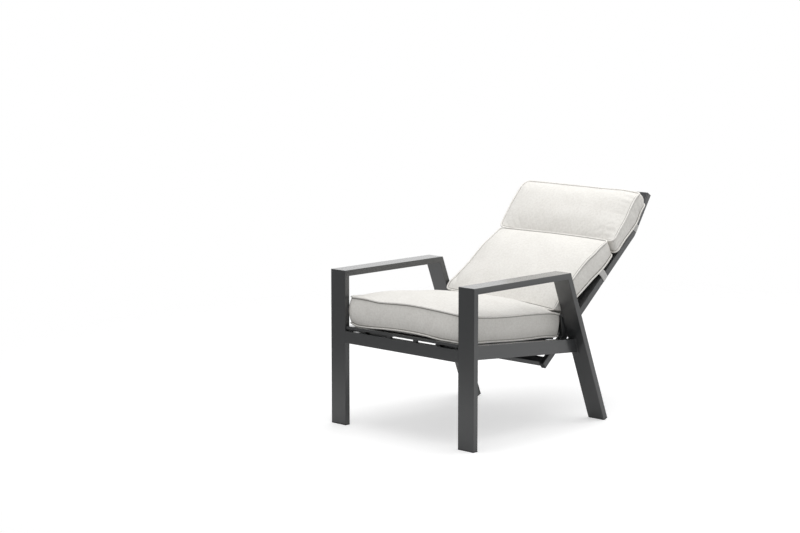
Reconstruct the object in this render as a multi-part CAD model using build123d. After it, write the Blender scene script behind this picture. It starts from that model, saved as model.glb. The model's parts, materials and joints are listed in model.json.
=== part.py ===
from build123d import *

import math
import os

# A reclining garden armchair: welded side frames of flat box tube, a fixed seat frame between
# them, a back frame that swings on two pins, a lockable gas spring and three loose cushions.
# Millimetres, +Z up, -Y is the front, +X is the sitter's left. While the pieces are worked out
# Y counts back from the front faces of the legs; the origin is set under the middle at the end.

# Side frames
overall_width = 730.0
profile_width = 76.0
profile_depth = 23.0
profile_wall = 2.0
arm_height = 597.0
arm_length = 545.0
rear_lean = 21.6

# Feet
foot_thickness = 4.0
foot_plug_depth = 18.0
foot_clearance = 0.2
rear_foot_flat = 1.5

# Rails
rail_wall = 2.0
front_rail_drop = 54.0
front_rail_height = 46.0
side_rail_width = 25.0
side_rail_height = 52.0
side_rail_inset = 44.0
side_rail_drop = 19.6
rail_plate_thickness = 3.0
rail_plate_margin = 5.0

# Seat frame, on a plane that falls towards the rear
seat_slope = 4.7
seat_plane_height = 373.5
bearer_width = 25.0
bearer_height = 25.0
bearer_inset = 117.0
cross_rail_inset = 69.0
cross_rail_depth = 25.0
cross_rail_height = 38.0
seat_bar_height = 10.0
seat_bar_wall = 1.5
front_bar_depth = 30.0
front_bar_overlap = 9.0
leg_to_bar_gap = 4.0
seat_tube_width = 22.0
seat_tube_inset = 38.0
seat_frame_gap = 19.5
rear_bar_depth = 25.0
spacer_width = 15.0
spacer_offset = 66.0
spacer_depth = 14.0
spacer_setback = 5.0
sling_thickness = 1.5
seat_sling_drop = 1.5

# Seat bolts
bolt_radius = 3.0
bolt_clearance = 0.1
bolt_head_radius = 5.5
bolt_head_height = 3.5
bolt_access_radius = 6.5
nut_radius = 6.0
nut_height = 5.0

# Back frame, at rest on its stop, fully reclined
pivot_rise = 49.5
back_rest_angle = 40.1
back_pivot_offset = 87.0
pivot_to_bend = 507.0
pivot_to_foot = 200.5
head_bend = 16.5
head_length = 183.3
back_tube_width = 20.0
back_tube_depth = 25.0
back_tube_wall = 1.5
top_bar_height = 20.0
lower_bar_height = 28.0
lower_bar_rise = 7.4
middle_bar_height = 20.0
middle_bar_depth = 20.0
middle_bar_setback = 18.0
back_sling_setback = 20.0
groove_width = 2.5
groove_depth = 0.8
groove_setback = 3.0
cap_thickness = 3.0
cap_plug_depth = 14.0
cap_clearance = 0.2

# Hinge
hinge_plate_thickness = 5.0
hinge_nose_radius = 15.0
hinge_foot_rise = 57.0
hinge_foot_drop = 58.0
hinge_edge = 2.0
pin_radius = 5.0
pin_reach = 11.0
pin_clearance = 0.05
bush_radius = 8.0
bush_flange_radius = 11.0
bush_flange_thickness = 2.4
bush_length = 14.0
washer_radius = 11.0
washer_thickness = 1.2
stack_gap = 0.1
stack_play = 0.3
seat_clearance = 0.02

# Gas spring and its brackets
spring_inset = 59.0
spring_reach = 233.5
spring_front_drop = 9.2
spring_foot_overrun = 6.5
spring_foot_depth = 12.0
cross_tube_lead = 76.0
cross_tube_depth = 25.0
cross_tube_height = 20.0
ear_gap = 12.0
ear_thickness = 4.0
ear_nose_radius = 12.0
ear_heel_radius = 9.0
ear_root_height = 16.0
cylinder_radius = 10.5
cylinder_wall = 2.0
cylinder_end = 6.0
cylinder_start = 24.0
rod_radius = 5.0
rod_head_overlap = 4.0
piston_length = 8.0
piston_backset = 4.0
running_clearance = 0.05
head_block_length = 28.0
head_block_half = 9.0
head_block_behind = 10.0
eye_radius = 11.0
eye_thickness = 12.0
eye_neck_radius = 5.5
eye_neck_length = 4.0
cross_pin_radius = 4.0
cross_pin_play = 2.5
cross_pin_head_radius = 6.5
cross_pin_head_height = 3.0
stud_depth = 4.0
stud_end_gap = 1.2
clevis_gap = 7.5
clevis_thickness = 4.0
clevis_nose_radius = 11.0
clevis_root_depth = 22.0
release_pin_radius = 2.0
release_pin_reach = 15.0
release_pin_tail = 3.0

# Release lever
lever_lead = 35.7
lever_drop = 31.5
lever_radius = 4.0
lever_inner_reach = 3.0
lever_side_gap = 22.0
lever_bend_radius = 12.0
lever_reach = 118.0
lever_pitch = 4.0
finger_width = 8.0
finger_thickness = 5.0
finger_top = 3.0
finger_hub_radius = 8.0
finger_gap = 0.5
grip_radius = 9.0
grip_length = 80.0
grip_end = 4.0
rail_bush_radius = 8.0
rail_bush_flange_radius = 11.0
rail_bush_flange = 2.0

# Cushions
seat_pad_side_gap = 12.5
seat_pad_front = 8.0
seat_pad_overhang = 14.0
seat_pad_rise = 0.4
seat_pad_front_height = 107.0
seat_pad_rear_height = 87.0
seat_pad_seam_rise = 7.0
seat_pad_crown = 40.0
seat_pad_front_bulge = 9.0
seat_pad_rear_bulge = 4.0
back_pad_side_gap = 13.0
back_pad_bottom = -500.0
back_pad_top = -144.0
back_pad_top_lift = 38.0
back_pad_bottom_lift = 80.0
back_pad_top_thickness = 64.0
back_pad_bottom_thickness = 66.0
back_pad_front_bow = 14.0
back_pad_front_crown = 18.0
back_pad_rear_bow = 2.0
back_pad_rear_sink = 26.2
back_pad_top_sink = 8.0
back_pad_end_bulge = 6.0
head_pad_overhang = 8.0
head_pad_bottom = -124.0
head_pad_length = 242.0
head_pad_bottom_lift = 44.0
head_pad_top_lift = 55.2
head_pad_bottom_thickness = 48.0
head_pad_top_thickness = 65.0
head_pad_bow = 10.0
head_pad_crown = 28.0
head_pad_rear_bow = 6.6
head_pad_sink = 10.0
head_pad_top_bulge = 15.0
head_pad_bottom_bulge = 4.0
head_pad_rear_rise = 4.0
head_pad_skew = 18.0
pad_side_bulge = 3.0
pad_least_bow = 0.4
pad_side_inset = 16.0

# Straps
strap_width = 30.0
strap_thickness = 1.2
back_strap_center = -237.0
back_strap_reach = 33.0
head_strap_center = 30.0
head_strap_reach = 29.0

# Where across its half width each cushion is measured, and how much of its crown it has there.
section_shares = [-1.0, -0.97, -0.88, -0.7, -0.4, 0.0, 0.4, 0.7, 0.88, 0.97, 1.0]
crown_shares = [0.0, 0.22, 0.52, 0.8, 0.96, 1.0, 0.96, 0.8, 0.52, 0.22, 0.0]

cut_overrun = 5.0
half = 0.5

lean_sin = math.sin(math.radians(rear_lean))
lean_cos = math.cos(math.radians(rear_lean))
slope_sin = math.sin(math.radians(seat_slope))
slope_cos = math.cos(math.radians(seat_slope))
rest_sin = math.sin(math.radians(back_rest_angle))
rest_cos = math.cos(math.radians(back_rest_angle))
head_sin = math.sin(math.radians(back_rest_angle + head_bend))
head_cos = math.cos(math.radians(back_rest_angle + head_bend))
half_bend_tan = math.tan(math.radians(head_bend * half))

leg_outer_x = overall_width * half
leg_inner_x = leg_outer_x - profile_width
rail_outer_x = leg_outer_x - side_rail_inset
rail_inner_x = rail_outer_x - side_rail_width
bearer_inner_x = rail_inner_x - bearer_inset
bearer_outer_x = bearer_inner_x + bearer_width
seat_tube_outer_x = rail_inner_x - seat_tube_inset
spring_x = spring_inset - bearer_inner_x
lever_outer_x = rail_outer_x + lever_side_gap
back_half_width = (
    leg_inner_x
    - bush_flange_thickness
    - stack_play
    - washer_thickness
    - stack_gap
    - hinge_plate_thickness
)
seat_pad_half_width = leg_inner_x - seat_pad_side_gap
back_pad_half_width = leg_inner_x - back_pad_side_gap
head_pad_half_width = back_half_width + head_pad_overhang
front_rail_bottom = seat_plane_height - front_rail_drop
pivot_height = seat_plane_height + pivot_rise

# The pivot lies on the centre line of the rear leg.
pivot_y = (
    arm_length
    + (arm_height - pivot_height) * lean_sin / lean_cos
    - profile_depth * half / lean_cos
)
bend_y = pivot_y + pivot_to_bend * rest_cos + back_pivot_offset * rest_sin
bend_z = pivot_height + pivot_to_bend * rest_sin - back_pivot_offset * rest_cos
back_foot = -pivot_to_bend - pivot_to_foot
overall_depth = bend_y + head_length * head_cos

# The seat frame ends in front of the pivot, and the spring starts a fixed way in front of it.
pivot_along = (pivot_y - profile_depth) * slope_cos - pivot_rise * slope_sin
seat_frame_end = pivot_along - seat_frame_gap
seat_pad_rear = seat_frame_end + seat_pad_overhang
cross_rail_setback = seat_frame_end - cross_rail_inset
spring_front_setback = pivot_along - spring_reach
cross_tube_setback = spring_front_setback - cross_tube_lead
lever_setback = spring_front_setback - lever_lead


def leg_point(along, across):
    """A point of the rear leg: down its rear face, and forward across its depth."""
    return (
        arm_length + along * lean_sin - across * lean_cos,
        arm_height - along * lean_cos - across * lean_sin,
    )


def seat_point(along, above):
    """A point of the seat: back along the slope from the front legs, and up from the bearers."""
    return (
        profile_depth + along * slope_cos + above * slope_sin,
        seat_plane_height - along * slope_sin + above * slope_cos,
    )


def back_point(along, above):
    """A point of the back: up from its bend, and forward from its rear face."""
    return (
        bend_y + along * rest_cos - above * rest_sin,
        bend_z + along * rest_sin + above * rest_cos,
    )


def head_point(along, above):
    """A point of the head section, above the bend."""
    return (
        bend_y + along * head_cos - above * head_sin,
        bend_z + along * head_sin + above * head_cos,
    )


def prism(points, low_x, high_x):
    """A side outline of (y, z) points, given its width along X."""
    corners = [(low_x, y, z) for y, z in points]
    return extrude(make_face(Polyline(*corners, close=True)), amount=high_x - low_x, dir=(1, 0, 0))


def block(place, low_a, high_a, low_b, high_b, low_x, high_x):
    """A square block between two distances along and two across, in one of the frames above."""
    points = [place(low_a, low_b), place(high_a, low_b), place(high_a, high_b), place(low_a, high_b)]
    return prism(points, low_x, high_x)


def tube_across(place, low_a, high_a, low_b, high_b, low_x, high_x, wall):
    """A box tube that runs along X."""
    bore = block(
        place,
        low_a + wall,
        high_a - wall,
        low_b + wall,
        high_b - wall,
        low_x - cut_overrun,
        high_x + cut_overrun,
    )
    return block(place, low_a, high_a, low_b, high_b, low_x, high_x) - bore


def tube_along(place, low_a, high_a, low_b, high_b, low_x, high_x, wall):
    """A box tube that runs front to back or up and down."""
    bore = block(
        place,
        low_a - cut_overrun,
        high_a + cut_overrun,
        low_b + wall,
        high_b - wall,
        low_x + wall,
        high_x - wall,
    )
    return block(place, low_a, high_a, low_b, high_b, low_x, high_x) - bore


def rod_x(center, radius, low_x, high_x):
    """A round bar along X through a (y, z) point."""
    place = Plane(origin=(low_x, *center), x_dir=(0, 1, 0), z_dir=(1, 0, 0))
    return extrude(place * Circle(radius), amount=high_x - low_x)


def rod_between(start, end, radius):
    """A round bar from one (x, y, z) point to another."""
    run = Vector(*end) - Vector(*start)
    return extrude(Plane(origin=start, z_dir=run) * Circle(radius), amount=run.length)


def mirrored(piece):
    return mirror(piece, about=Plane.YZ)


def hull_plate(place_points, circles, low_x, high_x):
    """A flat plate around corner points and (y, z, radius) circles, given its thickness along X."""
    side = Plane(origin=(low_x, 0, 0), x_dir=(0, 1, 0), z_dir=(1, 0, 0))
    edges = Polyline(*place_points, close=True).edges()
    for y, z, radius in circles:
        edges += (Pos(y, z) * Circle(radius)).edges()
    return extrude(side * make_hull(edges), amount=high_x - low_x)


def hull_corners(place, low_a, high_a, low_b, high_b):
    return [place(low_a, low_b), place(high_a, low_b), place(high_a, high_b), place(low_a, high_b)]


pieces = {}


def keep(name, piece):
    pieces[name] = piece


def keep_pair(name, piece):
    """The piece is made on the sitter's left, and its mirror image is the right one."""
    keep("left_" + name, piece)
    keep("right_" + name, mirrored(piece))


# Side frames: front leg, armrest and rear leg, mitred where they meet
front_mitre = [(0, arm_height), (profile_depth, arm_height - profile_depth)]
rear_outer = leg_point(0, 0)
rear_inner_along = profile_depth * (1 - lean_sin) / lean_cos
rear_inner = leg_point(rear_inner_along, profile_depth)
leg_end = (arm_height + rear_foot_flat - profile_depth * lean_sin) / lean_cos
tube_end = leg_end - foot_thickness


def front_leg():
    outer = prism(
        [(0, foot_thickness), (profile_depth, foot_thickness), front_mitre[1], front_mitre[0]],
        leg_inner_x,
        leg_outer_x,
    )
    bore = prism(
        [
            (profile_wall, 0),
            (profile_depth - profile_wall, 0),
            (profile_depth - profile_wall, arm_height),
            (profile_wall, arm_height),
        ],
        leg_inner_x + profile_wall,
        leg_outer_x - profile_wall,
    )
    return outer - bore


def armrest():
    outer = prism([*front_mitre, rear_inner, rear_outer], leg_inner_x, leg_outer_x)
    bore = prism(
        [
            (0, arm_height - profile_depth + profile_wall),
            (arm_length, arm_height - profile_depth + profile_wall),
            (arm_length, arm_height - profile_wall),
            (0, arm_height - profile_wall),
        ],
        leg_inner_x + profile_wall,
        leg_outer_x - profile_wall,
    )
    return outer - bore


def rear_leg():
    outer = prism(
        [rear_outer, rear_inner, leg_point(tube_end, profile_depth), leg_point(tube_end, 0)],
        leg_inner_x,
        leg_outer_x,
    )
    bore = block(
        leg_point,
        0,
        leg_end,
        profile_wall,
        profile_depth - profile_wall,
        leg_inner_x + profile_wall,
        leg_outer_x - profile_wall,
    )
    bush_hole = rod_x(
        (pivot_y, pivot_height),
        bush_radius + seat_clearance,
        leg_inner_x - cut_overrun,
        leg_inner_x + profile_wall + cut_overrun,
    )
    return outer - bore - bush_hole


keep_pair("front_leg", front_leg())
keep_pair("armrest", armrest())
keep_pair("rear_leg", rear_leg())

# Feet: a plastic sole under each leg with a plug that fills the tube
plug_inset = profile_wall + foot_clearance


def front_foot():
    sole = prism(
        [(0, 0), (profile_depth, 0), (profile_depth, foot_thickness), (0, foot_thickness)],
        leg_inner_x,
        leg_outer_x,
    )
    plug = prism(
        [
            (plug_inset, 0),
            (profile_depth - plug_inset, 0),
            (profile_depth - plug_inset, foot_thickness + foot_plug_depth),
            (plug_inset, foot_thickness + foot_plug_depth),
        ],
        leg_inner_x + plug_inset,
        leg_outer_x - plug_inset,
    )
    return sole + plug


def rear_foot():
    sole = block(leg_point, tube_end, leg_end, 0, profile_depth, leg_inner_x, leg_outer_x)
    plug = block(
        leg_point,
        tube_end - foot_plug_depth,
        leg_end,
        plug_inset,
        profile_depth - plug_inset,
        leg_inner_x + plug_inset,
        leg_outer_x - plug_inset,
    )
    below = prism(
        [
            (arm_length, 0),
            (overall_depth, 0),
            (overall_depth, -profile_depth),
            (arm_length, -profile_depth),
        ],
        leg_inner_x - cut_overrun,
        leg_outer_x + cut_overrun,
    )
    return sole + plug - below


keep_pair("front_foot", front_foot())
keep_pair("rear_foot", rear_foot())

# Front rail, flush with the front faces of the legs
front_rail_top = front_rail_bottom + front_rail_height


def level_point(back, up):
    return (back, up)


front_rail = tube_across(
    level_point,
    0,
    profile_depth,
    front_rail_bottom,
    front_rail_top,
    -leg_inner_x,
    leg_inner_x,
    rail_wall,
)

# Side rails and their end plates against the rear legs
rail_bottom = -side_rail_drop - side_rail_height * half
rail_top = -side_rail_drop + side_rail_height * half


def on_leg_front(above, clear):
    """Where a line of the seat at one height meets the rear leg's front face, less a clearance."""
    start_y, start_z = seat_point(0, above)
    gap = (
        (arm_length - start_y) * lean_cos
        + (arm_height - start_z) * lean_sin
        - profile_depth
        - clear
    )
    return gap / (slope_cos * lean_cos - slope_sin * lean_sin)


def rail_outline(low, high, clear):
    start_low = -low * slope_sin / slope_cos
    start_high = -high * slope_sin / slope_cos
    return [
        seat_point(start_low, low),
        seat_point(on_leg_front(low, clear), low),
        seat_point(on_leg_front(high, clear), high),
        seat_point(start_high, high),
    ]


lever_center = seat_point(lever_setback, -lever_drop)


def side_rail():
    outer = prism(
        rail_outline(rail_bottom, rail_top, rail_plate_thickness), rail_inner_x, rail_outer_x
    )
    bore = block(
        seat_point,
        -profile_depth,
        on_leg_front(rail_bottom, 0) + profile_depth,
        rail_bottom + rail_wall,
        rail_top - rail_wall,
        rail_inner_x + rail_wall,
        rail_outer_x - rail_wall,
    )
    return outer - bore


plate_low = on_leg_front(rail_top, 0)
plate_y, plate_z = seat_point(plate_low, rail_top)
plate_top_along = (arm_height - plate_z - profile_depth * lean_sin) / lean_cos - rail_plate_margin
plate_y, plate_z = seat_point(on_leg_front(rail_bottom, 0), rail_bottom)
plate_end_along = (arm_height - plate_z - profile_depth * lean_sin) / lean_cos + rail_plate_margin
rail_plate = block(
    leg_point,
    plate_top_along,
    plate_end_along,
    profile_depth,
    profile_depth + rail_plate_thickness,
    rail_inner_x - rail_plate_margin,
    rail_outer_x + rail_plate_margin,
)
lever_rail_hole = rod_x(
    lever_center,
    rail_bush_radius + seat_clearance,
    -rail_outer_x - cut_overrun,
    -rail_inner_x + cut_overrun,
)
keep("front_rail", front_rail)
keep("left_side_rail", side_rail())
keep("right_side_rail", mirrored(side_rail()) - lever_rail_hole)
keep_pair("rail_plate", rail_plate)

# Bearers between the front rail and the rear cross rail, and the tube that carries the spring
bearer_start = bearer_height * slope_sin / slope_cos


def bearer():
    outline = [
        seat_point(0, 0),
        seat_point(bearer_start, -bearer_height),
        seat_point(cross_rail_setback, -bearer_height),
        seat_point(cross_rail_setback, 0),
    ]
    bore = block(
        seat_point,
        -cut_overrun,
        cross_rail_setback + cut_overrun,
        rail_wall - bearer_height,
        -rail_wall,
        bearer_inner_x + rail_wall,
        bearer_outer_x - rail_wall,
    )
    return prism(outline, bearer_inner_x, bearer_outer_x) - bore


keep_pair("seat_bearer", bearer())
spring_cross_tube = tube_across(
    seat_point,
    cross_tube_setback,
    cross_tube_setback + cross_tube_depth,
    -bearer_height - cross_tube_height,
    -bearer_height,
    -rail_inner_x,
    rail_inner_x,
    rail_wall,
)
keep("spring_cross_tube", spring_cross_tube)

# Seat frame: front bar on spacers, two side tubes and a rear bar
front_bar_start = front_bar_overlap - front_bar_depth
seat_tube_inner_x = seat_tube_outer_x - seat_tube_width
seat_tube_middle_x = seat_tube_outer_x - seat_tube_width * half
rear_bar_start = seat_frame_end - rear_bar_depth
front_bolt_along = front_bar_start + spacer_setback + spacer_depth * half
rear_bolt_along = cross_rail_setback + cross_rail_depth * half


def rod_down(along, x, low, high, radius):
    """A round bar square to the seat plane, between two heights."""
    start_y, start_z = seat_point(along, low)
    end_y, end_z = seat_point(along, high)
    return rod_between((x, start_y, start_z), (x, end_y, end_z), radius)


def bolt_holes(along, x, depth):
    """Access above, and a shank hole through everything below."""
    access = rod_down(
        along, x, seat_bar_height * half, seat_bar_height + cut_overrun, bolt_access_radius
    )
    return access + rod_down(along, x, -depth, seat_bar_height, bolt_radius + bolt_clearance)


def seat_bolt(along, x, depth):
    """Its head sits inside the tube on the lower wall, and its nut is under the wall below."""
    head = rod_down(along, x, seat_bar_wall, seat_bar_wall + bolt_head_height, bolt_head_radius)
    shank = rod_down(along, x, -depth - nut_height, seat_bar_wall, bolt_radius)
    nut = rod_down(along, x, -depth - nut_height, -depth, nut_radius)
    return head + shank + nut


spacer_start = front_bar_start + spacer_setback
spacer_low = (front_rail_top - seat_plane_height + spacer_start * slope_sin) / slope_cos
spacer_end_low = (
    front_rail_top - seat_plane_height + (spacer_start + spacer_depth) * slope_sin
) / slope_cos
front_bolt_depth = rail_wall - min(spacer_low, spacer_end_low) + bolt_clearance
rear_bolt_depth = rail_wall
front_holes = bolt_holes(front_bolt_along, spacer_offset, front_bolt_depth + nut_height)
front_holes += bolt_holes(front_bolt_along, -spacer_offset, front_bolt_depth + nut_height)
rear_hole = bolt_holes(rear_bolt_along, seat_tube_middle_x, rear_bolt_depth)
front_bar = tube_across(
    seat_point,
    front_bar_start,
    front_bar_overlap,
    0,
    seat_bar_height,
    leg_to_bar_gap - leg_inner_x,
    leg_inner_x - leg_to_bar_gap,
    seat_bar_wall,
)
pieces["front_rail"] = front_rail - front_holes
keep("seat_front_bar", front_bar - front_holes)
seat_tube = tube_along(
    seat_point,
    front_bar_overlap,
    rear_bar_start,
    0,
    seat_bar_height,
    seat_tube_inner_x,
    seat_tube_outer_x,
    seat_bar_wall,
)
keep_pair("seat_tube", seat_tube - rear_hole)
rear_bar = tube_across(
    seat_point,
    rear_bar_start,
    seat_frame_end,
    0,
    seat_bar_height,
    -seat_tube_outer_x,
    seat_tube_outer_x,
    seat_bar_wall,
)
keep("seat_rear_bar", rear_bar)
cross_rail = tube_across(
    seat_point,
    cross_rail_setback,
    cross_rail_setback + cross_rail_depth,
    -cross_rail_height,
    0,
    -rail_inner_x,
    rail_inner_x,
    rail_wall,
)
keep("rear_cross_rail", cross_rail - rear_hole - mirrored(rear_hole))
spacer = prism(
    [
        seat_point(spacer_start, spacer_low),
        seat_point(spacer_start + spacer_depth, spacer_end_low),
        seat_point(spacer_start + spacer_depth, 0),
        seat_point(spacer_start, 0),
    ],
    spacer_offset - spacer_width * half,
    spacer_offset + spacer_width * half,
)
spacer -= front_holes
keep_pair("bar_spacer", spacer)
front_bolt = seat_bolt(front_bolt_along, spacer_offset, front_bolt_depth)
rear_bolt = seat_bolt(rear_bolt_along, seat_tube_middle_x, rear_bolt_depth)
keep("front_seat_bolts", Compound(children=[front_bolt, mirrored(front_bolt)]))
keep("rear_seat_bolts", Compound(children=[rear_bolt, mirrored(rear_bolt)]))
seat_sling = block(
    seat_point,
    front_bar_overlap,
    rear_bar_start,
    seat_bar_height - seat_sling_drop - sling_thickness,
    seat_bar_height - seat_sling_drop,
    -seat_tube_inner_x,
    seat_tube_inner_x,
)
keep("seat_sling", seat_sling)

# Back frame: side tubes with a bend, mitred top bar, lower bar and middle bar
back_inner_x = back_half_width - back_tube_width
tube_foot = back_foot + cap_thickness


def bent_outline(low, high, rear, front):
    """A strip of the back between two distances from its rear face, through the bend."""
    return [
        back_point(low, rear),
        back_point(-rear * half_bend_tan, rear),
        head_point(high, rear),
        head_point(high, front),
        back_point(-front * half_bend_tan, front),
        back_point(low, front),
    ]


def corner_wedge(corners):
    """Cuts a mitre: (x, along) points on the head section, through its whole depth."""
    points = [Vector(x, *head_point(along, -cut_overrun)) for x, along in corners]
    normal = Vector(0, -head_sin, head_cos)
    depth = back_tube_depth + cut_overrun + cut_overrun
    return extrude(make_face(Polyline(*points, close=True)), amount=depth, dir=normal)


top_start = head_length - top_bar_height
side_mitre = corner_wedge(
    [
        (back_inner_x, top_start),
        (back_half_width, head_length),
        (back_half_width, head_length + cut_overrun),
        (back_inner_x - cut_overrun, head_length + cut_overrun),
        (back_inner_x - cut_overrun, top_start),
    ]
)
bar_mitre = corner_wedge(
    [
        (back_inner_x, top_start),
        (back_half_width, head_length),
        (back_half_width + cut_overrun, head_length),
        (back_half_width + cut_overrun, top_start - cut_overrun),
        (back_inner_x, top_start - cut_overrun),
    ]
)


def back_tube():
    outer = prism(
        bent_outline(tube_foot, head_length, 0, back_tube_depth), back_inner_x, back_half_width
    )
    bore = prism(
        bent_outline(
            tube_foot - cut_overrun,
            head_length + cut_overrun,
            back_tube_wall,
            back_tube_depth - back_tube_wall,
        ),
        back_inner_x + back_tube_wall,
        back_half_width - back_tube_wall,
    )
    groove_front = back_tube_depth - groove_setback
    groove = prism(
        bent_outline(
            tube_foot - cut_overrun,
            head_length + cut_overrun,
            groove_front - groove_width,
            groove_front,
        ),
        back_half_width - groove_depth,
        back_half_width + cut_overrun,
    )
    return outer - bore - groove - side_mitre


keep_pair("back_tube", back_tube())
top_bar = tube_across(
    head_point,
    top_start,
    head_length,
    0,
    back_tube_depth,
    -back_half_width,
    back_half_width,
    back_tube_wall,
)
keep("back_top_bar", top_bar - bar_mitre - mirrored(bar_mitre))
lower_bar_start = back_foot + lower_bar_rise
lower_bar = tube_across(
    back_point,
    lower_bar_start,
    lower_bar_start + lower_bar_height,
    0,
    back_tube_depth,
    -back_inner_x,
    back_inner_x,
    back_tube_wall,
)
keep("back_lower_bar", lower_bar)
middle_bar_start = -pivot_to_bend - middle_bar_setback - middle_bar_height
middle_bar = tube_across(
    back_point,
    middle_bar_start,
    middle_bar_start + middle_bar_height,
    0,
    middle_bar_depth,
    -back_inner_x,
    back_inner_x,
    back_tube_wall,
)
keep("back_middle_bar", middle_bar)
back_sling = prism(
    bent_outline(
        middle_bar_start, top_start, back_sling_setback, back_sling_setback + sling_thickness
    ),
    -back_inner_x,
    back_inner_x,
)
keep("back_sling", back_sling)

# End caps of the back tubes
cap_inset = back_tube_wall + cap_clearance


def back_cap():
    cover = block(
        back_point, back_foot, tube_foot, 0, back_tube_depth, back_inner_x, back_half_width
    )
    plug = block(
        back_point,
        back_foot,
        tube_foot + cap_plug_depth,
        cap_inset,
        back_tube_depth - cap_inset,
        back_inner_x + cap_inset,
        back_half_width - cap_inset,
    )
    return cover + plug


keep_pair("back_cap", back_cap())

# Hinges: a plate on each back tube, its pin, and the bush in the rear leg
plate_outer_x = back_half_width + hinge_plate_thickness
pivot = (pivot_y, pivot_height)


def hinge_plate():
    plate = hull_plate(
        hull_corners(
            back_point,
            -pivot_to_bend - hinge_foot_drop,
            -pivot_to_bend + hinge_foot_rise,
            hinge_edge,
            back_tube_depth - groove_setback - groove_width,
        ),
        [(*pivot, hinge_nose_radius)],
        back_half_width,
        plate_outer_x,
    )
    return plate - rod_x(
        pivot,
        pin_radius + seat_clearance,
        back_half_width - cut_overrun,
        plate_outer_x + cut_overrun,
    )


keep_pair("hinge_plate", hinge_plate())
pin = rod_x(pivot, pin_radius, back_half_width, leg_inner_x + pin_reach)
keep("pivot_pins", Compound(children=[pin, mirrored(pin)]))
pin_bore = rod_x(
    pivot, pin_radius + pin_clearance, back_half_width, leg_inner_x + bush_length + cut_overrun
)
flange = rod_x(pivot, bush_flange_radius, leg_inner_x - bush_flange_thickness, leg_inner_x)
sleeve = rod_x(pivot, bush_radius, leg_inner_x, leg_inner_x + bush_length)
bush = flange + sleeve - pin_bore
keep("pivot_bushes", Compound(children=[bush, mirrored(bush)]))
washer_start = plate_outer_x + stack_gap
washer = rod_x(pivot, washer_radius, washer_start, washer_start + washer_thickness) - pin_bore
keep("pivot_washers", Compound(children=[washer, mirrored(washer)]))

# Gas spring: front pivot on the cross tube's ears, rear pivot below the back's lower bar
front_pivot = seat_point(spring_front_setback, -spring_front_drop)
rear_pivot = back_point(back_foot - spring_foot_overrun, spring_foot_depth)
spring_run = Vector(0, rear_pivot[0] - front_pivot[0], rear_pivot[1] - front_pivot[1])
spring_length = spring_run.length
spring_dir = spring_run.normalized()
spring_across = Vector(0, -spring_dir.Z, spring_dir.Y)


def spring_point(along, across):
    """A (y, z) point of the spring: from its front pivot towards the rear one, and up from it."""
    return (
        front_pivot[0] + spring_dir.Y * along + spring_across.Y * across,
        front_pivot[1] + spring_dir.Z * along + spring_across.Z * across,
    )


def on_spring(low, high, radius):
    return rod_between(
        (spring_x, *spring_point(low, 0)), (spring_x, *spring_point(high, 0)), radius
    )


ear_inner = spring_x + ear_gap
ear_outer = ear_inner + ear_thickness
cross_tube_back = cross_tube_setback + cross_tube_depth


def front_ear(low_x, high_x):
    root_low = -bearer_height - cross_tube_height * half - ear_root_height * half
    plate = hull_plate(
        hull_corners(
            seat_point,
            cross_tube_back,
            cross_tube_back + ear_thickness,
            root_low,
            root_low + ear_root_height,
        ),
        [(*front_pivot, ear_nose_radius), (*lever_center, ear_heel_radius)],
        low_x,
        high_x,
    )
    in_front = block(
        seat_point,
        cross_tube_setback,
        cross_tube_back,
        -bearer_height - cross_tube_height - ear_nose_radius,
        seat_bar_height,
        low_x - cut_overrun,
        high_x + cut_overrun,
    )
    stud = rod_x(
        front_pivot, cross_pin_radius + seat_clearance, low_x - cut_overrun, high_x + cut_overrun
    )
    shaft = rod_x(
        lever_center, lever_radius + running_clearance, low_x - cut_overrun, high_x + cut_overrun
    )
    return plate - in_front - stud - shaft


left_ear = front_ear(ear_inner, ear_outer)
right_ear = front_ear(spring_x - ear_gap - ear_thickness, spring_x - ear_gap)
keep("spring_front_bracket", Compound(children=[left_ear, right_ear]))

# Studs through the ears into the spring's head block
stud_tip = head_block_half - stud_depth


def front_stud(side):
    shank = rod_x(
        front_pivot,
        cross_pin_radius,
        spring_x + min(side * stud_tip, side * (ear_gap + ear_thickness)),
        spring_x + max(side * stud_tip, side * (ear_gap + ear_thickness)),
    )
    head_low = side * (ear_gap + ear_thickness)
    head_high = side * (ear_gap + ear_thickness + cross_pin_head_height)
    head = rod_x(
        front_pivot,
        cross_pin_head_radius,
        spring_x + min(head_low, head_high),
        spring_x + max(head_low, head_high),
    )
    return shank + head


keep("spring_front_studs", Compound(children=[front_stud(1), front_stud(-1)]))

head_front = -head_block_behind
head_back = head_front + head_block_length
head_block = block(
    spring_point,
    head_front,
    head_back,
    -head_block_half,
    head_block_half,
    spring_x - head_block_half,
    spring_x + head_block_half,
)
stud_bore = rod_x(
    front_pivot,
    cross_pin_radius + running_clearance,
    spring_x + stud_tip - stud_end_gap,
    spring_x + head_block_half + cut_overrun,
)
stud_bore += rod_x(
    front_pivot,
    cross_pin_radius + running_clearance,
    spring_x - head_block_half - cut_overrun,
    spring_x - stud_tip + stud_end_gap,
)
pin_passage = on_spring(
    head_front - cut_overrun, head_back - rod_head_overlap, release_pin_radius + running_clearance
)
rod_socket = on_spring(head_back - rod_head_overlap, head_back + cut_overrun, rod_radius)
keep("release_head", head_block - stud_bore - pin_passage - rod_socket)
release_pin = on_spring(-release_pin_reach, release_pin_tail, release_pin_radius)
keep("release_pin", release_pin)

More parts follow.
